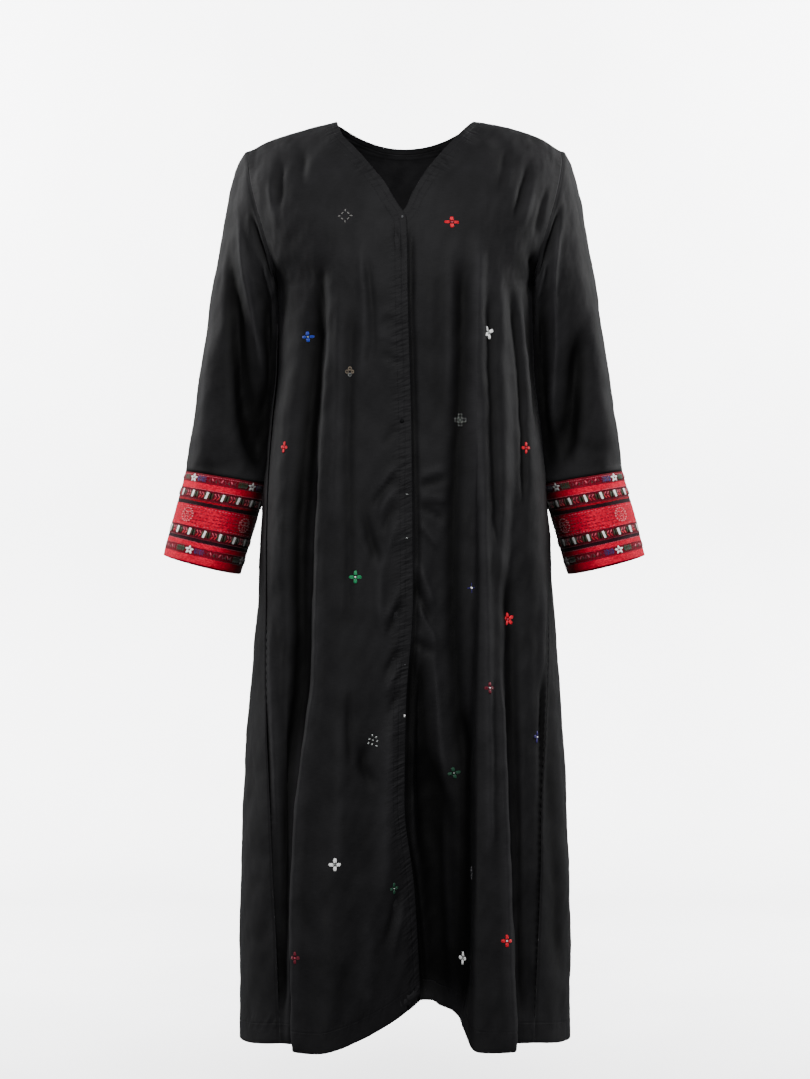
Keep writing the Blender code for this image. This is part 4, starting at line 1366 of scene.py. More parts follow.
def crossing_threads(name):
    """Crossing threads with uneven thickness: their height, and a mask of the gaps between them."""
    inputs = {"Place": None, "Thread pitch": 0.0006, "Unevenness": 0.6}
    group, start, end = new_group(name, inputs, ("Height", "Slub"))
    place, pitch = start["Place"], start["Thread pitch"]
    scale = over(group, 1.0, pitch)
    shift = times(group, noise(group, place, THREAD_BENDS, 2.0), times(group, pitch, THREAD_SWAY))
    bent = split(group, vector_maths(group, "ADD", place, vector(group, shift, shift)))
    waves = [maths(group, "SINE", times(group, times(group, bent[axis], scale), 2 * math.pi)) for axis in "XY"]
    rough = times(group, noise(group, place, THREAD_GRAIN, 3.0), start["Unevenness"])
    cross = times(group, *waves)
    group.links.new(plus(group, times(group, cross, 0.5), rough), end["Height"])
    stretched = vector_maths(group, "MULTIPLY", place, SLUB_CYCLES)
    group.links.new(noise(group, stretched, 1.0, 2.0), end["Slub"])
    return group


def stitched_puckers(name):
    """Small gathers that run across a stitched line, fading to both sides of it."""
    inputs = {"Distance": 0.0, "Along": 0.0, "Line": 0.016, "Reach": 0.008, "Spacing": 0.008}
    group, start, end = new_group(name, inputs, ("Height", "Line mask"))
    distance, line = start["Distance"], start["Line"]
    near = bell(group, distance, line, start["Reach"])
    tilted = plus(group, start["Along"], times(group, distance, GATHER_SLANT))
    run = times(group, tilted, over(group, 1.0, start["Spacing"]))
    place = vector(group, run, times(group, distance, GATHER_CHANGE))
    fades = noise(group, place, GATHER_FADES, 1.0)
    strength = plus(group, times(group, fades, GATHER_RANGE), GATHER_LEAST)
    wave = times(group, less(group, noise(group, place, 1.0, 1.5), 0.5), strength)
    groove = bell(group, distance, line, GROOVE_WIDTH)
    height = less(group, times(group, wave, near), times(group, groove, GROOVE_DEPTH))
    group.links.new(height, end["Height"])
    group.links.new(groove, end["Line mask"])
    return group


def satin_threads(name):
    """Side-by-side satin threads: their height and a mask of single lighter ones."""
    group, start, end = new_group(name, {"Place": None, "Thread pitch": 0.0005}, ("Height", "Light threads"))
    place, pitch = start["Place"], start["Thread pitch"]
    bent = plus(group, split(group, place)["X"], times(group, noise(group, place, SATIN_BENDS, 1.0), pitch))
    phase = times(group, over(group, bent, pitch), 2 * math.pi)
    wave = maths(group, "ABSOLUTE", maths(group, "SINE", times(group, phase, 0.5)))
    stretched = vector_maths(group, "MULTIPLY", place, SATIN_CYCLES)
    group.links.new(wave, end["Height"])
    group.links.new(noise(group, stretched, 1.0, 1.0), end["Light threads"])
    return group


# What the materials are made of: depth of the bump in metres, roughness where the pattern is 0 and what it gains
# where the pattern is 1, and the specular level. The cloth's roughness is a setting, for the middle of its gain.
LOOKS = {row.name: row for row in table("""
name depth rough gain specular
crepe .00008 - .16 .06
bands .0005 .55 .2 .05
thread .00022 .42 .2 .3
black_thread .00022 .42 .2 .05
steel .00005 .2 .25 .5
""")}
CREPE_PITCH, THREAD_PITCH = 0.0007, 0.00045
DYE_CYCLES, DYE_SHARE = 22.0, 0.6
GATHER_DEPTH, WEAVE_STRENGTH = 0.0030, 0.6
SHEEN_ROUGHNESS, SHEEN_TINT = 0.45, (0.75, 0.78, 0.85, 1.0)
METALLIC_SHARE = 0.75
STEEL_CYCLES, STEEL_TINTS = 900.0, ((0.35, (0.42, 0.42, 0.40)), (0.7, (0.70, 0.70, 0.67)))


def new_material(name):
    material = bpy.data.materials.new(name)
    material.use_nodes = True
    tree = material.node_tree
    return material, tree, tree.nodes["Principled BSDF"]


def ramp(tree, value, stops, between="LINEAR"):
    """A colour ramp; stops are places and colours."""
    made = node(tree, "ShaderNodeValToRGB", {"Fac": value})
    band = made.color_ramp
    band.interpolation = between
    while len(band.elements) < len(stops):
        band.elements.new(0.99)
    for element, (place, colour) in zip(band.elements, stops):
        element.position = place
        element.color = (*colour, 1.0)
    return made.outputs["Color"]


def finish_shader(tree, shader, look, colour, pattern, height, rough=None, strength=1.0, under=None, **values):
    """Links a material's colour, roughness and bump, and sets its other values."""
    rough = plus(tree, times(tree, pattern, look.gain), look.rough if rough is None else rough)
    bump = {"Height": height, "Distance": look.depth, "Strength": strength}
    if under:
        bump["Normal"] = under
    tree.links.new(colour, shader.inputs["Base Color"])
    tree.links.new(rough, shader.inputs["Roughness"])
    tree.links.new(node(tree, "ShaderNodeBump", bump).outputs[0], shader.inputs["Normal"])
    for key, value in {"Specular_IOR_Level": look.specular, **values}.items():
        shader.inputs[key.replace("_", " ")].default_value = value


# Lines along which stitching puckers the cloth: how far in from an edge, how far to each side the gathers reach,
# how far apart they are, in metres, and how strong
PUCKERED_LINES = table("""
edge axis line reach spacing strength
from_edge Y .009 .014 .0062 1.4
from_hem X .028 .012 .01 .9
from_seam Y 0 .01 .012 .6
""")
# Uneven dye: the cloth's colour is scaled by the second number where the shade has the first
CLOTH_TINTS = ((0.35, 0.72), (0.68, 1.35))
# Painted shade and painted light: the cloth is darker in the troughs of its creases, where shade falls, and
# lighter on their ridges. Half of the span below, in millimetres, is the depth where it ends.
CREASE_SHADE_SPAN = 14
CREASE_SHADE_TONES = ((0.0, 0.10), (0.5, 1.0), (0.9, 1.65))


def cloth_material(settings):
    known = bpy.data.materials.get("black_crepe")
    if known:
        return known
    material, tree, shader = new_material("black_crepe")
    uv = own_uv(tree)
    flat = split(tree, uv)
    weave = use_group(tree, crossing_threads, {"Place": uv, "Thread pitch": CREPE_PITCH})
    gathers = 0.0
    for line in PUCKERED_LINES:
        inputs = {"Distance": attribute(tree, line.edge), "Along": flat[line.axis]}
        inputs |= {"Line": line.line, "Reach": line.reach, "Spacing": line.spacing}
        height = use_group(tree, stitched_puckers, inputs)["Height"]
        gathers = plus(tree, gathers, times(tree, height, line.strength))
    dye = times(tree, noise(tree, uv, DYE_CYCLES, 4.0), DYE_SHARE)
    shade = plus(tree, dye, times(tree, weave["Slub"], 1 - DYE_SHARE))
    tints = [(place, scaled(settings.cloth_colour, scale)) for place, scale in CLOTH_TINTS]
    colour = ramp(tree, shade, tints)
    # Painted shade in the creases' troughs and painted light on their ridges, from the crease height
    crease_shade = plus(tree, over(tree, attribute(tree, "raised"), CREASE_SHADE_SPAN), 0.5)
    crease_shade = ramp(tree, crease_shade, [(place, grey(tone)) for place, tone in CREASE_SHADE_TONES])
    coarse = {"Height": gathers, "Distance": GATHER_DEPTH, "Strength": 1.0}
    look = LOOKS["crepe"]
    finish_shader(
        tree,
        shader,
        look,
        multiplied(tree, colour, crease_shade),
        shade,
        weave["Height"],
        rough=settings.cloth_roughness - look.gain / 2,
        strength=WEAVE_STRENGTH,
        under=node(tree, "ShaderNodeBump", coarse).outputs[0],
        Sheen_Weight=settings.cloth_sheen,
        Sheen_Roughness=SHEEN_ROUGHNESS,
        Sheen_Tint=SHEEN_TINT,
    )
    return material


# Painted shade on the cuffs: how bright they are from their middle, 0, to the side against the body, 1, where the
# body shades them
CUFF_BODY_SHADE = tuple((near_body, grey(left)) for near_body, left in ((0.15, 1.0), (0.55, 0.40), (0.85, 0.06)))
# The red that the bands' colours are for
BANDS_RED = 0.56
# Bands of a cuff from its upper edge down: where each starts, as a share of its length, and its colour
CUFF_BANDS = table("""
name start colour
dark_edge 0 .12,.003,.01
upper_ground .022 .15,.004,.014
upper_red .105 .6,.001,.03
upper_bars .178 .09,.004,.012
upper_line .296 .26,.003,.012
upper_stripe .318 .016,.004,.007
wide_red .364 .54,.001,.027
lower_bars .608 .09,.004,.012
lower_stripe .728 .018,.004,.008
low_red .772 .58,.001,.029
lower_ground .826 .15,.004,.014
hem_red .915 .6,.001,.03
""")


# The ground's stitches: how they slant and how full their domes are, and their tones and gaps. The bands' edges
# wobble by a share of the cuff's length.
GROUND_SLANT, GROUND_FULLNESS = 0.6, 0.6
GROUND_TONES = ((0.0, (0.62, 0.55, 0.55)), (1.0, grey(1.25)))
GROUND_GAPS = ((0.25, (0.30, 0.26, 0.28)), (0.62, grey(1.0)))
WOBBLE_CYCLES, WOBBLE = 160.0, 0.014


def slanted_stitches(name):
    """Rows of slanted stitches, each row leaning the other way: their height and a tone for each stitch."""
    inputs = {"Place": None, "Stitch length": 0.0021, "Row height": 0.0016}
    group, start, end = new_group(name, inputs, ("Height", "Tone"))
    flat = split(group, start["Place"])
    row_place = over(group, flat["Y"], start["Row height"])
    row = maths(group, "FLOOR", row_place)
    in_row = less(group, row_place, row)
    lean = less(group, times(group, maths(group, "PINGPONG", row, 1.0), 2.0), 1.0)
    slant = times(group, times(group, in_row, lean), GROUND_SLANT)
    run = plus(group, over(group, flat["X"], start["Stitch length"]), slant)
    stitch = maths(group, "FLOOR", run)
    in_stitch = less(group, run, stitch)
    domes = [maths(group, "SINE", times(group, part, math.pi)) for part in (in_stitch, in_row)]
    domes = [maths(group, "POWER", dome, GROUND_FULLNESS) for dome in domes]
    spot = {"Vector": vector(group, stitch, row)}
    tone = node(group, "ShaderNodeTexWhiteNoise", spot, noise_dimensions="3D").outputs["Value"]
    group.links.new(times(group, *domes), end["Height"])
    group.links.new(tone, end["Tone"])
    return group


def cuff_wear(name):
    """How near a place on a cuff is to the body: 0 along the cuff's middle, 1 on its inner side. It masks the
    cuffs' painted shade.
    """
    group, start, end = new_group(name, {"Place": None}, ("Wear",))
    place = split(group, start["Place"])
    slope = math.tan(CUFF_LEAN)
    middle = plus(group, times(group, place["Z"], -slope), CUFF_TOP.x + slope * CUFF_TOP.z)
    inwards = less(group, middle, maths(group, "ABSOLUTE", place["X"]))
    group.links.new(over(group, inwards, CUFF_TOP.half_width), end["Wear"])
    return group


def worn_dark(tree, colour):
    """A cuff's colour with painted shade, darker where it hangs against the body and the body shades it."""
    near_body = use_group(tree, cuff_wear, {"Place": object_place(tree)})["Wear"]
    return multiplied(tree, colour, ramp(tree, near_body, CUFF_BODY_SHADE))


def multiplied(tree, colour, tone):
    mixed = node(tree, "ShaderNodeMix", data_type="RGBA", blend_type="MULTIPLY")
    factor, first, second = (mixed.inputs[number] for number in (0, 6, 7))
    factor.default_value = 1.0
    tree.links.new(colour, first)
    tree.links.new(tone, second)
    return mixed.outputs[2]


def cuff_material(settings):
    material, tree, shader = new_material("cuff_bands")
    uv = own_uv(tree)
    share = over(tree, split(tree, uv)["Y"], -CUFF_LENGTH)
    wobble = less(tree, noise(tree, uv, WOBBLE_CYCLES, 2.0), 0.5)
    strength = settings.cuff_red[0] / BANDS_RED
    bands = [(band.start, scaled(band.colour, strength)) for band in CUFF_BANDS]
    ground = ramp(tree, plus(tree, share, times(tree, wobble, WOBBLE)), bands, "CONSTANT")
    stitches = use_group(tree, slanted_stitches, {"Place": uv})
    tone = ramp(tree, stitches["Tone"], GROUND_TONES)
    gaps = ramp(tree, stitches["Height"], GROUND_GAPS)
    colour = worn_dark(tree, multiplied(tree, multiplied(tree, ground, tone), gaps))
    finish_shader(tree, shader, LOOKS["bands"], colour, stitches["Tone"], stitches["Height"])
    return material


def thread_material(colour_name, on_cuff):
    name = ("cuff_thread_" if on_cuff else "thread_") + colour_name
    known = bpy.data.materials.get(name)
    if known:
        return known
    material, tree, shader = new_material(name)
    threads = use_group(tree, satin_threads, {"Place": own_uv(tree), "Thread pitch": THREAD_PITCH})
    single = threads["Light threads"]
    tints = [(place, scaled(THREADS[colour_name], scale)) for place, scale in THREAD_TINTS]
    colour = ramp(tree, single, tints)
    # Threads on a cuff get the same painted shade where the cuff hangs against the body
    if on_cuff:
        colour = worn_dark(tree, colour)
    look = LOOKS["black_thread" if colour_name == "black" else "thread"]
    metallic = METALLIC_SHARE if colour_name in METALLIC_THREADS else 0.0
    finish_shader(tree, shader, look, colour, single, threads["Height"], Metallic=metallic)
    return material


def metal_material():
    material, tree, shader = new_material("worn_steel")
    grain = noise(tree, object_place(tree), STEEL_CYCLES, 3.0)
    finish_shader(tree, shader, LOOKS["steel"], ramp(tree, grain, STEEL_TINTS), grain, grain, Metallic=1.0)
    return material


# Embroidery


# A stitch's dome is a ball of width 1, cut off this far below its middle, and a bar's top edges are rounded
DOME_CUT = -0.12
BAR_ROUNDING = 0.16
# A colour's scales in the dark and the light threads of a stitch
THREAD_TINTS = ((0.3, 0.55), (0.7, 1.3))


def mesh_from(bm, name):
    mesh = bpy.data.meshes.new(name)
    bm.to_mesh(mesh)
    bm.free()
    return mesh


def flat_pattern(bm, name):
    """A small pattern's mesh, with its flat places as UV."""
    uv = bm.loops.layers.uv.new("UVMap")
    for face in bm.faces:
        for loop in face.loops:
            loop[uv].uv = loop.vert.co.xy
    return mesh_from(bm, name)


def dome_pattern(around, levels, taper):
    """A unit dome of satin stitches, 1 long and 1 wide, narrowing towards -Y by taper."""
    name = "dome_%d_%d_%d" % (around, levels, round(taper * 100))
    known = bpy.data.meshes.get(name)
    if known:
        return known
    bm = bmesh.new()
    bmesh.ops.create_uvsphere(bm, u_segments=around, v_segments=levels * 2, radius=0.5)
    whole = bm.verts[:] + bm.edges[:] + bm.faces[:]
    bmesh.ops.bisect_plane(bm, geom=whole, plane_co=(0, 0, DOME_CUT), plane_no=(0, 0, 1), clear_inner=True)
    for vert in bm.verts:
        vert.co.x *= 1 - taper * (0.5 - vert.co.y)
        vert.co.z *= 2
    bmesh.ops.recalc_face_normals(bm, faces=bm.faces)
    return flat_pattern(bm, name)


def bar_pattern():
    """A unit bar of satin stitches with rounded edges."""
    known = bpy.data.meshes.get("bar")
    if known:
        return known
    bm = bmesh.new()
    bmesh.ops.create_cube(bm, size=1.0)
    top = [edge for edge in bm.edges if min(vert.co.z for vert in edge.verts) > 0]
    bmesh.ops.bevel(bm, geom=top, offset=BAR_ROUNDING, segments=2, profile=0.5, affect="EDGES", material=-1)
    bmesh.ops.translate(bm, verts=bm.verts, vec=(0, 0, 0.5))
    low = [face for face in bm.faces if face.normal.z < -0.9]
    bmesh.ops.delete(bm, geom=low, context="FACES")
    return flat_pattern(bm, "bar")


def copied(bm, pattern):
    """Adds a small pattern's mesh; gives its vertices and faces."""
    verts, faces = len(bm.verts), len(bm.faces)
    bm.from_mesh(pattern)
    bm.verts.ensure_lookup_table()
    bm.faces.ensure_lookup_table()
    for face in bm.faces[faces:]:
        face.smooth = True
    return bm.verts[verts:], bm.faces[faces:]


def stamp(bm, pattern, size, turn, centre, place, slot):
    """Adds a copy of a small pattern: sized, turned, moved on the flat, and put on a surface by place."""
    uv = bm.loops.layers.uv.active
    verts, faces = copied(bm, pattern)
    local = np.array([vert.co for vert in verts]) * size
    c, s = math.cos(turn), math.sin(turn)
    flat = np.stack([local[:, 0] * c - local[:, 1] * s, local[:, 0] * s + local[:, 1] * c], axis=1)
    for vert, spot in zip(verts, place(flat + np.asarray(centre), local[:, 2])):
        vert.co = spot
    for face in faces:
        face.material_index = slot
        for loop in face.loops:
            loop[uv].uv = (loop[uv].uv[0] * size[0] + centre[0], loop[uv].uv[1] * size[1] + centre[1])


def embroidery_object(name, draw, colours, on_cuff=False):
    """An object of small patterns. draw fills a bmesh, given the slot number of each colour."""
    bm = bmesh.new()
    bm.loops.layers.uv.new("UVMap")
    draw(bm, {colour: number for number, colour in enumerate(colours)})
    return new_object(name, mesh_from(bm, name), [thread_material(colour, on_cuff) for colour in colours])


def surface_tree(shell):
    """A search tree over a shell's outer face."""
    rows, columns = shell.points.shape[:2]
    numbers = np.arange(rows * columns).reshape(rows, columns)
    quads = np.stack([numbers[:-1, :-1], numbers[1:, :-1], numbers[1:, 1:], numbers[:-1, 1:]], axis=-1)
    return BVHTree.FromPolygons(shell.points.reshape(-1, 3).tolist(), quads.reshape(-1, 4).tolist())


def surface_placer(tree, hit, normal):
    """Puts flat places, across and up, on a surface round a point that was hit."""
    up = Vector((0, 0, 1))
    up = (up - normal * up.dot(normal)).normalized()
    right = up.cross(normal)

    def place(flat, heights):
        spots = []
        for (x, y), height in zip(flat, heights):
            near, face_normal, _, _ = tree.find_nearest(hit + right * x + up * y)
            if face_normal.dot(normal) < 0:
                face_normal = -face_normal
            spots.append(near + face_normal * height)
        return spots

    return place


# Stitches of the scattered flowers, laid at each of a flower's bearings, and the bead in its middle. A star is a
# cross of five. Width, length and reach from the middle are shares of the flower's size, the height is in
# millimetres, and tilt and swing turn the stitch and its bearing, in radians.
FLOWER_STITCHES = table("""
kind pattern width length height tilt reach swing
cross petal .15 .36 1 .06 .275 -.22
cross petal .15 .36 1 -.06 .275 .22
cross petal .11 .42 1.3 0 .265 0
diamond bead .1 .23 1.2 0 .42 0
diamond bead .1 .23 1.2 2.35619449 .3 .78539816
beaded bead .05 .12 1 -.6 .2 -.52
beaded bead .05 .12 1 .6 .4 -.24
beaded bead .05 .12 1 .6 .2 .52
beaded bead .05 .12 1 -.6 .4 .24
bead petal .12 .34 .9 0 .26 0
""")
FLOWER_MIDDLES = table("""
kind width length height tilt reach
cross .13 .13 1.7 0 0
beaded .1 .1 1.4 0 0
ovals .12 .16 1.4 .4 .05
bead .22 .22 1.6 0 0
""")
# Reaches of the seven loose ovals, with the size of each, and the reach of the four rings, the radius of each
# and the size of its beads
OVAL_REACHES, OVAL = (0.40, 0.30, 0.36, 0.24, 0.42, 0.28, 0.34), (0.11, 0.19, 1.3)
RING_REACH, RING_RADIUS, RING_BEAD = 0.24, 0.115, (0.07, 0.11, 1.0)


def draw_flower(bm, slots, motif, place, size):
    """A scattered flower of satin stitches, or of beads, with a bead in its middle."""
    patterns = {"petal": dome_pattern(8, 2, 0.35), "bead": dome_pattern(8, 3, 0.0)}
    colour, middle = slots[motif.colour], slots[motif.middle]
    turned = math.radians(motif.turn)
    kind, count = ("cross", 5) if motif.kind == "star" else (motif.kind, 4)

    def spread(flat, heights):
        return place(flat * (motif.wide, motif.high), heights)

    def put(pattern, sizes, angle, reach, bearing, slot):
        width, length, height = sizes
        centre = (-math.sin(bearing + turned) * size * reach, math.cos(bearing + turned) * size * reach)
        whole = (size * width, size * length, height / 1000)
        stamp(bm, patterns[pattern], whole, angle + turned, centre, spread, slot)

    for angle in (number * 2 * math.pi / count for number in range(count)):
        for row in FLOWER_STITCHES:
            if row.kind == kind:
                sizes = row.width, row.length, row.height
                put(row.pattern, sizes, angle + row.tilt, row.reach, angle + row.swing, colour)
    if kind == "rings":
        for number in range(4):
            angle = number * math.pi / 2
            for turn in (step * math.pi / 3 for step in range(6)):
                across = math.sin(angle) * RING_REACH + math.sin(turn) * RING_RADIUS
                up = math.cos(angle) * RING_REACH + math.cos(turn) * RING_RADIUS
                reach, bearing = math.hypot(across, up), math.atan2(-across, up)
                put("bead", RING_BEAD, math.pi / 2 - turn, reach, bearing, middle if number == 2 else colour)
    if kind == "ovals":
        for number, reach in enumerate(OVAL_REACHES):
            angle = number * 2 * math.pi / len(OVAL_REACHES)
            put("bead", OVAL, angle + 0.5 * (number % 3), reach, angle, colour)
    for row in FLOWER_MIDDLES:
        if row.kind == kind:
            put("bead", (row.width, row.length, row.height), row.tilt, row.reach, 0.0, middle)


def seen_place(tree, seen_x, seen_z, eye, name):
    """A placer where the line of sight from the eye meets a panel."""
    eye = Vector(eye)
    aim = (Vector((seen_x, 0, seen_z)) - eye).normalized()
    hit, normal, _, _ = tree.ray_cast(eye, aim)
    if hit is None:
        raise RuntimeError("this place misses its panel: " + name)
    if normal.dot(aim) > 0:
        normal = -normal
    return surface_placer(tree, hit, (normal - aim).normalized())


def flowers_on(name, shell, motifs, eye, size):
    """The flowers that a line of sight from the eye puts on this panel."""
    tree = surface_tree(shell)

    def draw(bm, slots):
        for motif in motifs:
            draw_flower(bm, slots, motif, seen_place(tree, motif.seen_x, motif.seen_z, eye, name), size)

    colours = sorted({motif.colour for motif in motifs} | {motif.middle for motif in motifs})
    return embroidery_object(name, draw, colours)


def cuff_placer(side):
    """Puts flat places, distance round and distance down, on a cuff."""

    def place(flat, heights):
        turn = flat[:, 0] / CUFF_GIRTH * 2 * math.pi
        point, normal = cuff_surface(side, turn, -flat[:, 1])
        return point + normal * np.asarray(heights)[:, None]

    return place


# Stitches of the cuffs: each one's pattern, and its width, length and height in millimetres
CUFF_STITCHES = {row.name: row for row in table("""
name pattern size
petal petal -5,-6.2,1.2
eye bead 2.4,2.4,1.9
wing leaf 2.7,6,1
wing_vein leaf 1.6,4,1.3
zigzag leaf 2.1,6.4,.9
zigzag_back leaf 1.8,4,1.1
bar bar 3.1,10.4,1.2
stripe leaf 2.4,11.6,1.1
short_stripe leaf 2.4,11,1.1
hook leaf 1.7,6.4,1.1
ring leaf 2.4,3,1.3
small_ring leaf 1.2,2.6,1.2
running leaf 1.3,3.6,.7
cord bead 1,3,.7
""")}
# Rows of one kind round a cuff: place down it, as a share of its length, and shift round it, in repeats
FLOWER_ROWS = ((0.060, 0.5), (0.870, 0.78))
BAR_ROWS = ((0.237, 0.3), (0.668, 0.8))
RING_ROW = (0.487, 0.57)
FLOWERS_ROUND, BARS_ROUND = 4, 16
RUNNING_ROUND, RUNNING_SHARE, RUNNING_WANDER = 74, 0.85, 0.4
CORD_ROUND, CORD_LEAN = 124, 14
UNEVEN_TURN = 4
CUFF_SEED, SEW_SEED = 11, 5
# A cuff's groups of stitches, in millimetres and degrees. Petals reach out from a flower's middle across and along
# the row; leaves, zigzags, stripes and hooks follow each other at a pitch and lean; a ring flower's stitches and
# its three small rings lie at reaches from its middle, at steps of a turn.
PETAL_STEP, PETAL_REACH = 72, (4.1, 3.7)
LEAVES, FIRST_LEAF, LEAF_PITCH, LEAF_LEAN, LEAF_RISE, VEIN_SHIFT = 4, 9.8, 3.6, 38, 2.1, 1.8
ZIGZAGS, ZIGZAG_PITCH, ZIGZAG_LEAN, ZIGZAG_RISE, ZIGZAG_BACK = 9, 4.6, 32, -0.5, (1.0, 1.6)
BAR_LEAN, FIRST_STRIPE, STRIPE_PITCH, SHORT_STRIPE = -6, 3.6, 2.1, -3.2
FIRST_HOOK, HOOK_PITCH, HOOK_LEAN, HOOK_RISES = 12.4, 4.6, 36, (-2.4, 2.6)
RING_STEP, RING_WIDTH, SMALL_STEP, SMALL_REACH, SMALL_WIDTH = 24, (10.0, 10.0), 60, (4.7, 4.7), (3.0, 3.0)


def around(x, y, degrees, across, along):
    """A place at a turn round x and y."""
    turn = math.radians(degrees)
    return x - math.sin(turn) * across, y - math.cos(turn) * along


def flower_group(put, x, y, repeat):
    """A white flower between two fans of leaves, and a zigzag half way to the next one."""
    for turn in range(0, 360, PETAL_STEP):
        put("petal", turn, *around(x, y, turn, *PETAL_REACH), "white")
    put("eye", 0, x, y, "maroon")
    for side, light, dark in ((1, "indigo", "plum"), (-1, "dark_green", "olive")):
        for step in range(LEAVES):
            leaf_x = x + side * (FIRST_LEAF + step * LEAF_PITCH)
            for level in (-1, 1):
                tint = dark if step % 2 else light
                put("wing", side * level * LEAF_LEAN, leaf_x, y + level * LEAF_RISE, tint)
            put("wing_vein", 90, leaf_x + side * VEIN_SHIFT, y, dark)
    for step in range(ZIGZAGS):
        zigzag_x = x + repeat / 2 + (step - ZIGZAGS // 2) * ZIGZAG_PITCH
        lean = ZIGZAG_LEAN if step % 2 else -ZIGZAG_LEAN
        back = zigzag_x + ZIGZAG_BACK[0], y + ZIGZAG_BACK[1]
        put("zigzag", lean, zigzag_x, y + ZIGZAG_RISE, "pink" if step % 3 == 1 else "maroon")
        put("zigzag_back", -lean, *back, "dark_green" if step % 4 == 2 else "maroon")


def bar_group(put, x, y):
    """A white bar between olive and black stripes, and two crossed hooks."""
    put("bar", BAR_LEAN, x, y, "white")
    for step, tint in enumerate(("olive", "black", "olive")):
        put("stripe", 0, x + FIRST_STRIPE + step * STRIPE_PITCH, y, tint)
    put("short_stripe", 0, x + SHORT_STRIPE, y, "olive")
    for step in range(2):
        hook_x = x + FIRST_HOOK + step * HOOK_PITCH
        for side, tints in ((-1, ("maroon", "red")), (1, ("pink", "maroon"))):
            for rise, tint in zip(HOOK_RISES, tints):
                put("hook", side * HOOK_LEAN, hook_x, y + rise, tint)


def ring_flower(put, x, y):
    """A ring of stitches round three small rings."""
    for turn in range(0, 360, RING_STEP):
        put("ring", turn + 90, *around(x, y, turn, *RING_WIDTH), "rose")
    for corner in (60, 180, 300):
        centre = around(x, y, corner, *SMALL_REACH)
        for turn in range(0, 360, SMALL_STEP):
            put("small_ring", turn + 90, *around(*centre, turn, *SMALL_WIDTH), "rose")


def draw_cuff(bm, slots, place):
    """Rows of flowers and leaves, rows of bars, and ring flowers between them, round a cuff."""
    patterns = {"petal": dome_pattern(8, 2, 0.45), "leaf": dome_pattern(8, 2, 0.0)}
    patterns |= {"bead": dome_pattern(6, 2, 0.0), "bar": bar_pattern()}
    length, girth = CUFF_LENGTH * 1000, CUFF_GIRTH * 1000
    draw = random.Random(CUFF_SEED)

    def put(name, turn, x, y, colour):
        stitch = CUFF_STITCHES[name]
        turn = math.radians(turn + draw.uniform(-UNEVEN_TURN, UNEVEN_TURN))
        size = [side / 1000 for side in stitch.size]
        stamp(bm, patterns[stitch.pattern], size, turn, (x / 1000, -y / 1000), place, slots[colour])

    repeat = girth / FLOWERS_ROUND
    for row, shift in FLOWER_ROWS:
        for number in range(FLOWERS_ROUND):
            flower_group(put, repeat * (number + shift), row * length, repeat)
    for row, shift in BAR_ROWS:
        for number in range(BARS_ROUND):
            bar_group(put, girth / BARS_ROUND * (number + shift), row * length)
    for number in range(FLOWERS_ROUND):
        ring_flower(put, repeat * (number + RING_ROW[1]), RING_ROW[0] * length)
    for row in WIDE_BAND_ROWS:
        for number in range(RUNNING_ROUND):
            if draw.random() < RUNNING_SHARE:
                y = row.place * length + draw.uniform(-RUNNING_WANDER, RUNNING_WANDER)
                put("running", 90, girth * number / RUNNING_ROUND, y, row.colour)
    for row in CUFF_CORDS:
        for number in range(CORD_ROUND):
            lean = 90 + (CORD_LEAN if number % 2 else -CORD_LEAN)
            put("cord", lean, girth * number / CORD_ROUND, row.place * length, row.colour)


# Stitches


def stitch_line(shell, values, distance, by_rows):
    """Points and normals of a line at a distance from an edge, one in every row or every column."""
    points, normals = shell.points, shell.normals
    if not by_rows:
        points, normals, values = [np.swapaxes(item, 0, 1)[:, ::-1] for item in (points, normals, values)]
    found = []
    for row, facing, reach in zip(points, normals, values):
        beyond = np.flatnonzero(reach > distance)
        if len(beyond) == 0 or beyond[0] == 0:
            continue
        step = beyond[0]
        part = (distance - reach[step - 1]) / (reach[step] - reach[step - 1])
        found.append((row[step - 1] * (1 - part) + row[step] * part, facing[step]))
    return np.array([pair[0] for pair in found]), np.array([pair[1] for pair in found])


def sew_line(bm, points, normals):
    """Stitches laid end to end along a line."""
    pattern = dome_pattern(6, 2, 0.0)
    runs = np.concatenate([[0.0], np.cumsum(np.linalg.norm(np.diff(points, axis=0), axis=1))])
    draw = random.Random(SEW_SEED)
    start = STITCH_PITCH / 2
    while start + STITCH_LENGTH < runs[-1]:
        span = np.array([start, start + STITCH_LENGTH * draw.uniform(SHORTEST_STITCH, 1.0)])
        ends = np.stack([np.interp(span, runs, points[:, axis]) for axis in range(3)], axis=-1)
        facing = np.array([np.interp(start, runs, normals[:, axis]) for axis in range(3)])
        along = ends[1] - ends[0]
        facing = unit(facing - along * (facing @ along) / (along @ along))
        beside = np.cross(facing, unit(along))
        axes = Matrix([beside * STITCH_WIDTH, along, facing * STITCH_WIDTH * STITCH_HEIGHT]).transposed().to_4x4()
        matrix = Matrix.Translation(Vector(ends.mean(axis=0))) @ axes
        bmesh.ops.transform(bm, matrix=matrix, verts=copied(bm, pattern)[0])
        start += STITCH_PITCH


# Settings


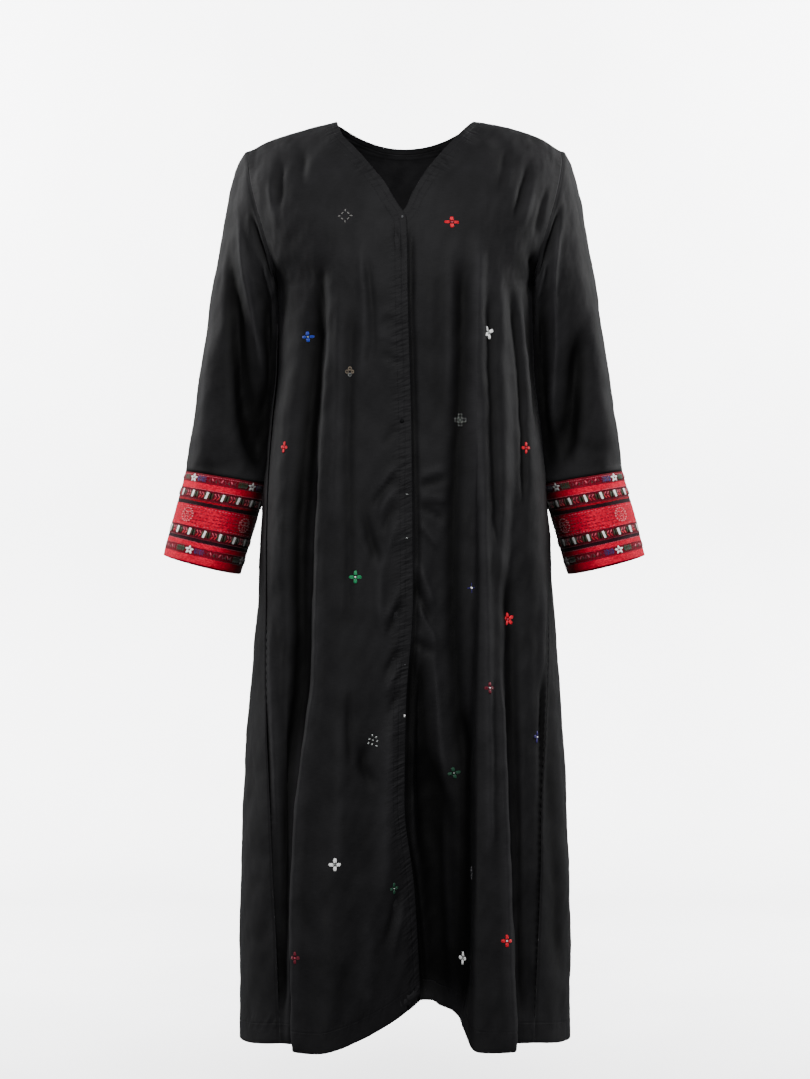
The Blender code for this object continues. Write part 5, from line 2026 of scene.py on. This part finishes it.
class AbayaCloth(bpy.types.PropertyGroup):
    """What a user may change about the cloth."""

    cloth_colour: FloatVectorProperty(
        name="Cloth colour",
        description="Base colour of the black crepe",
        default=(0.0058, 0.0057, 0.0062),
        subtype="COLOR",
        size=3,
        min=0.0,
        max=1.0,
    )
    cloth_roughness: FloatProperty(
        name="Roughness", description="How dull the cloth is", default=0.66, min=0.0, max=1.0, subtype="FACTOR"
    )
    cloth_sheen: FloatProperty(
        name="Sheen",
        description="Soft light along the edges of folds",
        default=0.004,
        min=0.0,
        max=1.0,
        subtype="FACTOR",
    )
    thickness: FloatProperty(
        name="Cloth thickness",
        description="Thickness of one layer",
        default=0.0008,
        min=0.0003,
        max=0.002,
        unit="LENGTH",
    )
    hem_depth: FloatProperty(
        name="Hem depth",
        description="How far the hem is turned up inside",
        default=0.028,
        min=0.005,
        max=0.06,
        unit="LENGTH",
    )
    facing_width: FloatProperty(
        name="Front facing width",
        description="How far the fronts' edges are turned in",
        default=0.030,
        min=0.005,
        max=0.06,
        unit="LENGTH",
    )
    crease_scale: FloatProperty(
        name="Crease strength",
        description="Scale of the small creases",
        default=1.55,
        min=0.0,
        max=2.0,
        subtype="FACTOR",
    )


class AbayaTrim(bpy.types.PropertyGroup):
    """What a user may change about the embroidery."""

    cuff_red: FloatVectorProperty(
        name="Cuff red",
        description="Ground colour of the cuff bands",
        default=(0.60, 0.001, 0.030),
        subtype="COLOR",
        size=3,
        min=0.0,
        max=1.0,
    )
    flower_size: FloatProperty(
        name="Flower size",
        description="Width of a scattered flower",
        default=0.022,
        min=0.008,
        max=0.05,
        unit="LENGTH",
    )


class AbayaStudio(bpy.types.PropertyGroup):
    """What a user may change about the studio."""

    floor_height: FloatProperty(
        name="Floor height", description="Height of the studio floor", default=-1.50, unit="LENGTH"
    )
    wall_distance: FloatProperty(
        name="Wall distance", description="How far the wall stands behind the garment", default=3.4, unit="LENGTH"
    )
    light_power: FloatProperty(name="Light power", description="Scale of every lamp", default=1.0, min=0.0)
    air_light: FloatProperty(name="Air light", description="Even light from all round", default=0.07, min=0.0)


# Operators

SHELLS = {}


def dress(obj, node_name):
    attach(obj, BODY)
    if node_name:
        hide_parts(node_name)
    return obj


def make_panel(piece, settings):
    """One panel of the body, with its turned hem, and a front's turned edge."""
    shell = panel_shell(piece, settings.crease_scale)
    SHELLS[piece.name] = shell
    radius = settings.thickness * ROLL_RADIUS
    whole = turn_edge(shell, settings.hem_depth, radius)
    if not piece.with_neck:
        whole = turn_edge(whole, settings.facing_width, radius, False)
    obj = shell_object(piece.name + "_cloth", whole, [cloth_material(settings)], settings.thickness)
    dress(obj, piece.name)


class ABAYA_OT_fronts(bpy.types.Operator):
    """Makes the two fronts, with turned neck and lap edges and a turned hem."""

    bl_idname = "abaya.fronts"
    bl_label = "Make fronts"

    def execute(self, context):
        for word in SIDES:
            make_panel(front_piece(word), context.scene.abaya_cloth)
        return {"FINISHED"}


class ABAYA_OT_back(bpy.types.Operator):
    """Makes the back, with its turned hem."""

    bl_idname = "abaya.back"
    bl_label = "Make back"

    def execute(self, context):
        make_panel(back_piece(), context.scene.abaya_cloth)
        return {"FINISHED"}


class ABAYA_OT_sleeves(bpy.types.Operator):
    """Makes the two sleeves."""

    bl_idname = "abaya.sleeves"
    bl_label = "Make sleeves"

    def execute(self, context):
        settings = context.scene.abaya_cloth
        for word, side in SIDES.items():
            shell = sleeve_shell(word, side, settings.crease_scale)
            name = "sleeve_" + word
            obj = shell_object(name + "_cloth", shell, [cloth_material(settings)], settings.thickness, True)
            dress(obj, name)
        return {"FINISHED"}


class ABAYA_OT_cuffs(bpy.types.Operator):
    """Makes the two cuff bands, their turned lower edges and their embroidery."""

    bl_idname = "abaya.cuffs"
    bl_label = "Make cuffs"

    def execute(self, context):
        material = cuff_material(context.scene.abaya_trim)
        colours = "white blue indigo green dark_green olive plum black maroon pink rose red".split()
        for word, side in SIDES.items():
            name = "cuff_" + word
            shell = turn_edge(cuff_shell(side), CUFF_HEM, CUFF_THICKNESS)
            obj = shell_object(name + "_band", shell, [material], CUFF_THICKNESS, True)
            dress(obj, name)
            place = cuff_placer(side)
            made = embroidery_object(
                name + "_embroidery", lambda bm, slots, place=place: draw_cuff(bm, slots, place), colours, True
            )
            dress(made, None)
        return {"FINISHED"}


class ABAYA_OT_flowers(bpy.types.Operator):
    """Scatters the embroidered flowers over the fronts and the back."""

    bl_idname = "abaya.flowers"
    bl_label = "Make flowers"

    def execute(self, context):
        size = context.scene.abaya_trim.flower_size
        eye = CAMERA_PLACE
        behind = (0.0, -CAMERA_PLACE[1], CAMERA_PLACE[2])
        right = [motif for motif in FRONT_MOTIFS if motif.seen_x < 0]
        left = [motif for motif in FRONT_MOTIFS if motif.seen_x >= 0]
        for name, motifs, place in (
            ("front_right", right, eye),
            ("front_left", left, eye),
            ("back", BACK_MOTIFS, behind),
        ):
            dress(flowers_on(name + "_flowers", SHELLS[name], motifs, place, size), None)
        return {"FINISHED"}


class ABAYA_OT_stitches(bpy.types.Operator):
    """Sews the lines of stitches along the neck, the lap and the hem."""

    bl_idname = "abaya.stitches"
    bl_label = "Sew stitches"

    def execute(self, context):
        settings = context.scene.abaya_cloth
        for name in ("front_right", "front_left", "back"):
            shell = SHELLS[name]
            lines = [stitch_line(shell, shell.from_hem, settings.hem_depth - HEM_STITCH, False)]
            if name != "back":
                lines.append(stitch_line(shell, shell.from_edge, EDGE_STITCH, True))

            def draw(bm, slots, lines=lines):
                for points, normals in lines:
                    sew_line(bm, points, normals)

            dress(embroidery_object(name + "_stitches", draw, ["black"]), None)
        return {"FINISHED"}


class ABAYA_OT_sheets(bpy.types.Operator):
    """A step that does nothing; each panel's cut is listed in the CLOTH_CUTS table."""

    bl_idname = "abaya.sheets"
    bl_label = "Declare cloth"

    def execute(self, context):
        return {"FINISHED"}


class ABAYA_OT_studs(bpy.types.Operator):
    """Gives the press studs their steel, scuffed with use, and tacks them through the lap."""

    bl_idname = "abaya.studs"
    bl_label = "Finish studs"

    def execute(self, context):
        material = metal_material()
        for number in range(1, STUD_COUNT + 1):
            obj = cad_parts["press_stud_%d" % number]
            for slot in obj.material_slots:
                slot.material = material
        tree = surface_tree(SHELLS["front_right"])
        bead = dome_pattern(8, 3, 0.0)

        def draw(bm, slots):
            for tack in TACKS:
                place = seen_place(tree, tack.seen_x, tack.seen_z, CAMERA_PLACE, tack.name)
                stamp(bm, bead, (tack.width, tack.height, TACK_HEIGHT), 0.0, (0, 0), place, slots[tack.colour])

        colours = sorted({tack.colour for tack in TACKS})
        dress(embroidery_object("stud_tacks", draw, colours), None)
        return {"FINISHED"}


# Mottled paper: cycles to the metre, roughness and tints
PAPER_CYCLES, PAPER_ROUGHNESS = 3.0, 0.9
PAPER_TINTS = ((0.3, (0.88, 0.88, 0.89)), (0.7, (0.92, 0.92, 0.93)))


def paper_material():
    """Pale paper. It throws little light back on the dark cloth."""
    material, tree, shader = new_material("pale_paper")
    tint = ramp(tree, noise(tree, object_place(tree), PAPER_CYCLES, 2.0), PAPER_TINTS)
    seen = node(tree, "ShaderNodeLightPath").outputs["Is Camera Ray"]
    dimmed = multiplied(tree, tint, ramp(tree, seen, ((0.0, grey(PAPER_BOUNCE)), (1.0, grey(1.0)))))
    tree.links.new(dimmed, shader.inputs["Base Color"])
    shader.inputs["Roughness"].default_value = PAPER_ROUGHNESS
    return material


def paper_backdrop(floor, wall):
    """A sheet of paper that lies on the floor and curves up into the wall."""
    profile = [(-FLOOR_REACH, floor), (wall - COVE_RADIUS, floor)]
    for step in range(1, COVE_STEPS + 1):
        turn = math.pi / 2 * step / COVE_STEPS
        profile.append((wall - COVE_RADIUS * (1 - math.sin(turn)), floor + COVE_RADIUS * (1 - math.cos(turn))))
    profile.append((wall, floor + WALL_HEIGHT))
    bm = bmesh.new()
    verts = [bm.verts.new((-FLOOR_REACH, y, z)) for y, z in profile]
    edges = [bm.edges.new(pair) for pair in zip(verts, verts[1:])]
    made = bmesh.ops.extrude_edge_only(bm, edges=edges)
    moved = [item for item in made["geom"] if isinstance(item, bmesh.types.BMVert)]
    bmesh.ops.translate(bm, verts=moved, vec=(2 * FLOOR_REACH, 0, 0))
    bmesh.ops.recalc_face_normals(bm, faces=bm.faces)
    for face in bm.faces:
        face.smooth = True
    return new_object("studio_floor", mesh_from(bm, "studio_floor"), [paper_material()])


def add_lamp(row, power):
    lamp = bpy.data.lights.new(row.name, "AREA")
    lamp.shape = "RECTANGLE"
    lamp.size, lamp.size_y = row.size
    lamp.energy = row.power * power
    obj = linked(row.name, lamp)
    obj.location = row.place
    heading = Vector(row.aim) - Vector(row.place)
    obj.rotation_euler = heading.to_track_quat("-Z", "Y").to_euler()


class ABAYA_OT_stage(bpy.types.Operator):
    """Makes the pale floor and wall, the lamps and the camera."""

    bl_idname = "abaya.stage"
    bl_label = "Make stage"

    def execute(self, context):
        settings = context.scene.abaya_studio
        paper_backdrop(settings.floor_height, settings.wall_distance)
        world = bpy.data.worlds.new("studio_air")
        world.use_nodes = True
        air = world.node_tree.nodes["Background"].inputs
        air["Color"].default_value = (1.0, 1.0, 1.0, 1.0)
        air["Strength"].default_value = settings.air_light
        context.scene.world = world
        for row in STUDIO_LAMPS:
            add_lamp(row, settings.light_power)
        camera = bpy.data.cameras.new("camera")
        camera.sensor_fit = "VERTICAL"
        camera.angle = 2 * math.atan(HALF_VIEW_HEIGHT / -CAMERA_PLACE[1])
        obj = linked("camera", camera)
        obj.location = CAMERA_PLACE
        obj.rotation_euler = (math.pi / 2, 0, 0)
        context.scene.camera = obj
        return {"FINISHED"}


class ABAYA_PT_panel(bpy.types.Panel):
    """Lists the settings and the steps."""

    bl_idname = "ABAYA_PT_panel"
    bl_label = "Abaya"
    bl_space_type = "VIEW_3D"
    bl_region_type = "UI"
    bl_category = "Abaya"

    def draw(self, context):
        layout = self.layout
        scene = context.scene
        for name in ("abaya_cloth", "abaya_trim", "abaya_studio"):
            box = layout.box()
            settings = getattr(scene, name)
            for key in settings.bl_rna.properties.keys():
                if key not in ("rna_type", "name"):
                    box.prop(settings, key)
        for operator in OPERATORS:
            layout.operator(operator.bl_idname)


OPERATORS = (
    ABAYA_OT_fronts,
    ABAYA_OT_back,
    ABAYA_OT_sleeves,
    ABAYA_OT_cuffs,
    ABAYA_OT_flowers,
    ABAYA_OT_stitches,
    ABAYA_OT_studs,
    ABAYA_OT_sheets,
    ABAYA_OT_stage,
)
CLASSES = (AbayaCloth, AbayaTrim, AbayaStudio, *OPERATORS, ABAYA_PT_panel)


def register():
    for item in CLASSES:
        bpy.utils.register_class(item)
    bpy.types.Scene.abaya_cloth = PointerProperty(type=AbayaCloth)
    bpy.types.Scene.abaya_trim = PointerProperty(type=AbayaTrim)
    bpy.types.Scene.abaya_studio = PointerProperty(type=AbayaStudio)


def unregister():
    del bpy.types.Scene.abaya_studio
    del bpy.types.Scene.abaya_trim
    del bpy.types.Scene.abaya_cloth
    for item in reversed(CLASSES):
        bpy.utils.unregister_class(item)


def main():
    register()
    bpy.ops.abaya.fronts()
    bpy.ops.abaya.back()
    bpy.ops.abaya.sleeves()
    bpy.ops.abaya.cuffs()
    bpy.ops.abaya.flowers()
    bpy.ops.abaya.stitches()
    bpy.ops.abaya.studs()
    bpy.ops.abaya.sheets()
    bpy.ops.abaya.stage()


if __name__ == "__main__":
    main()
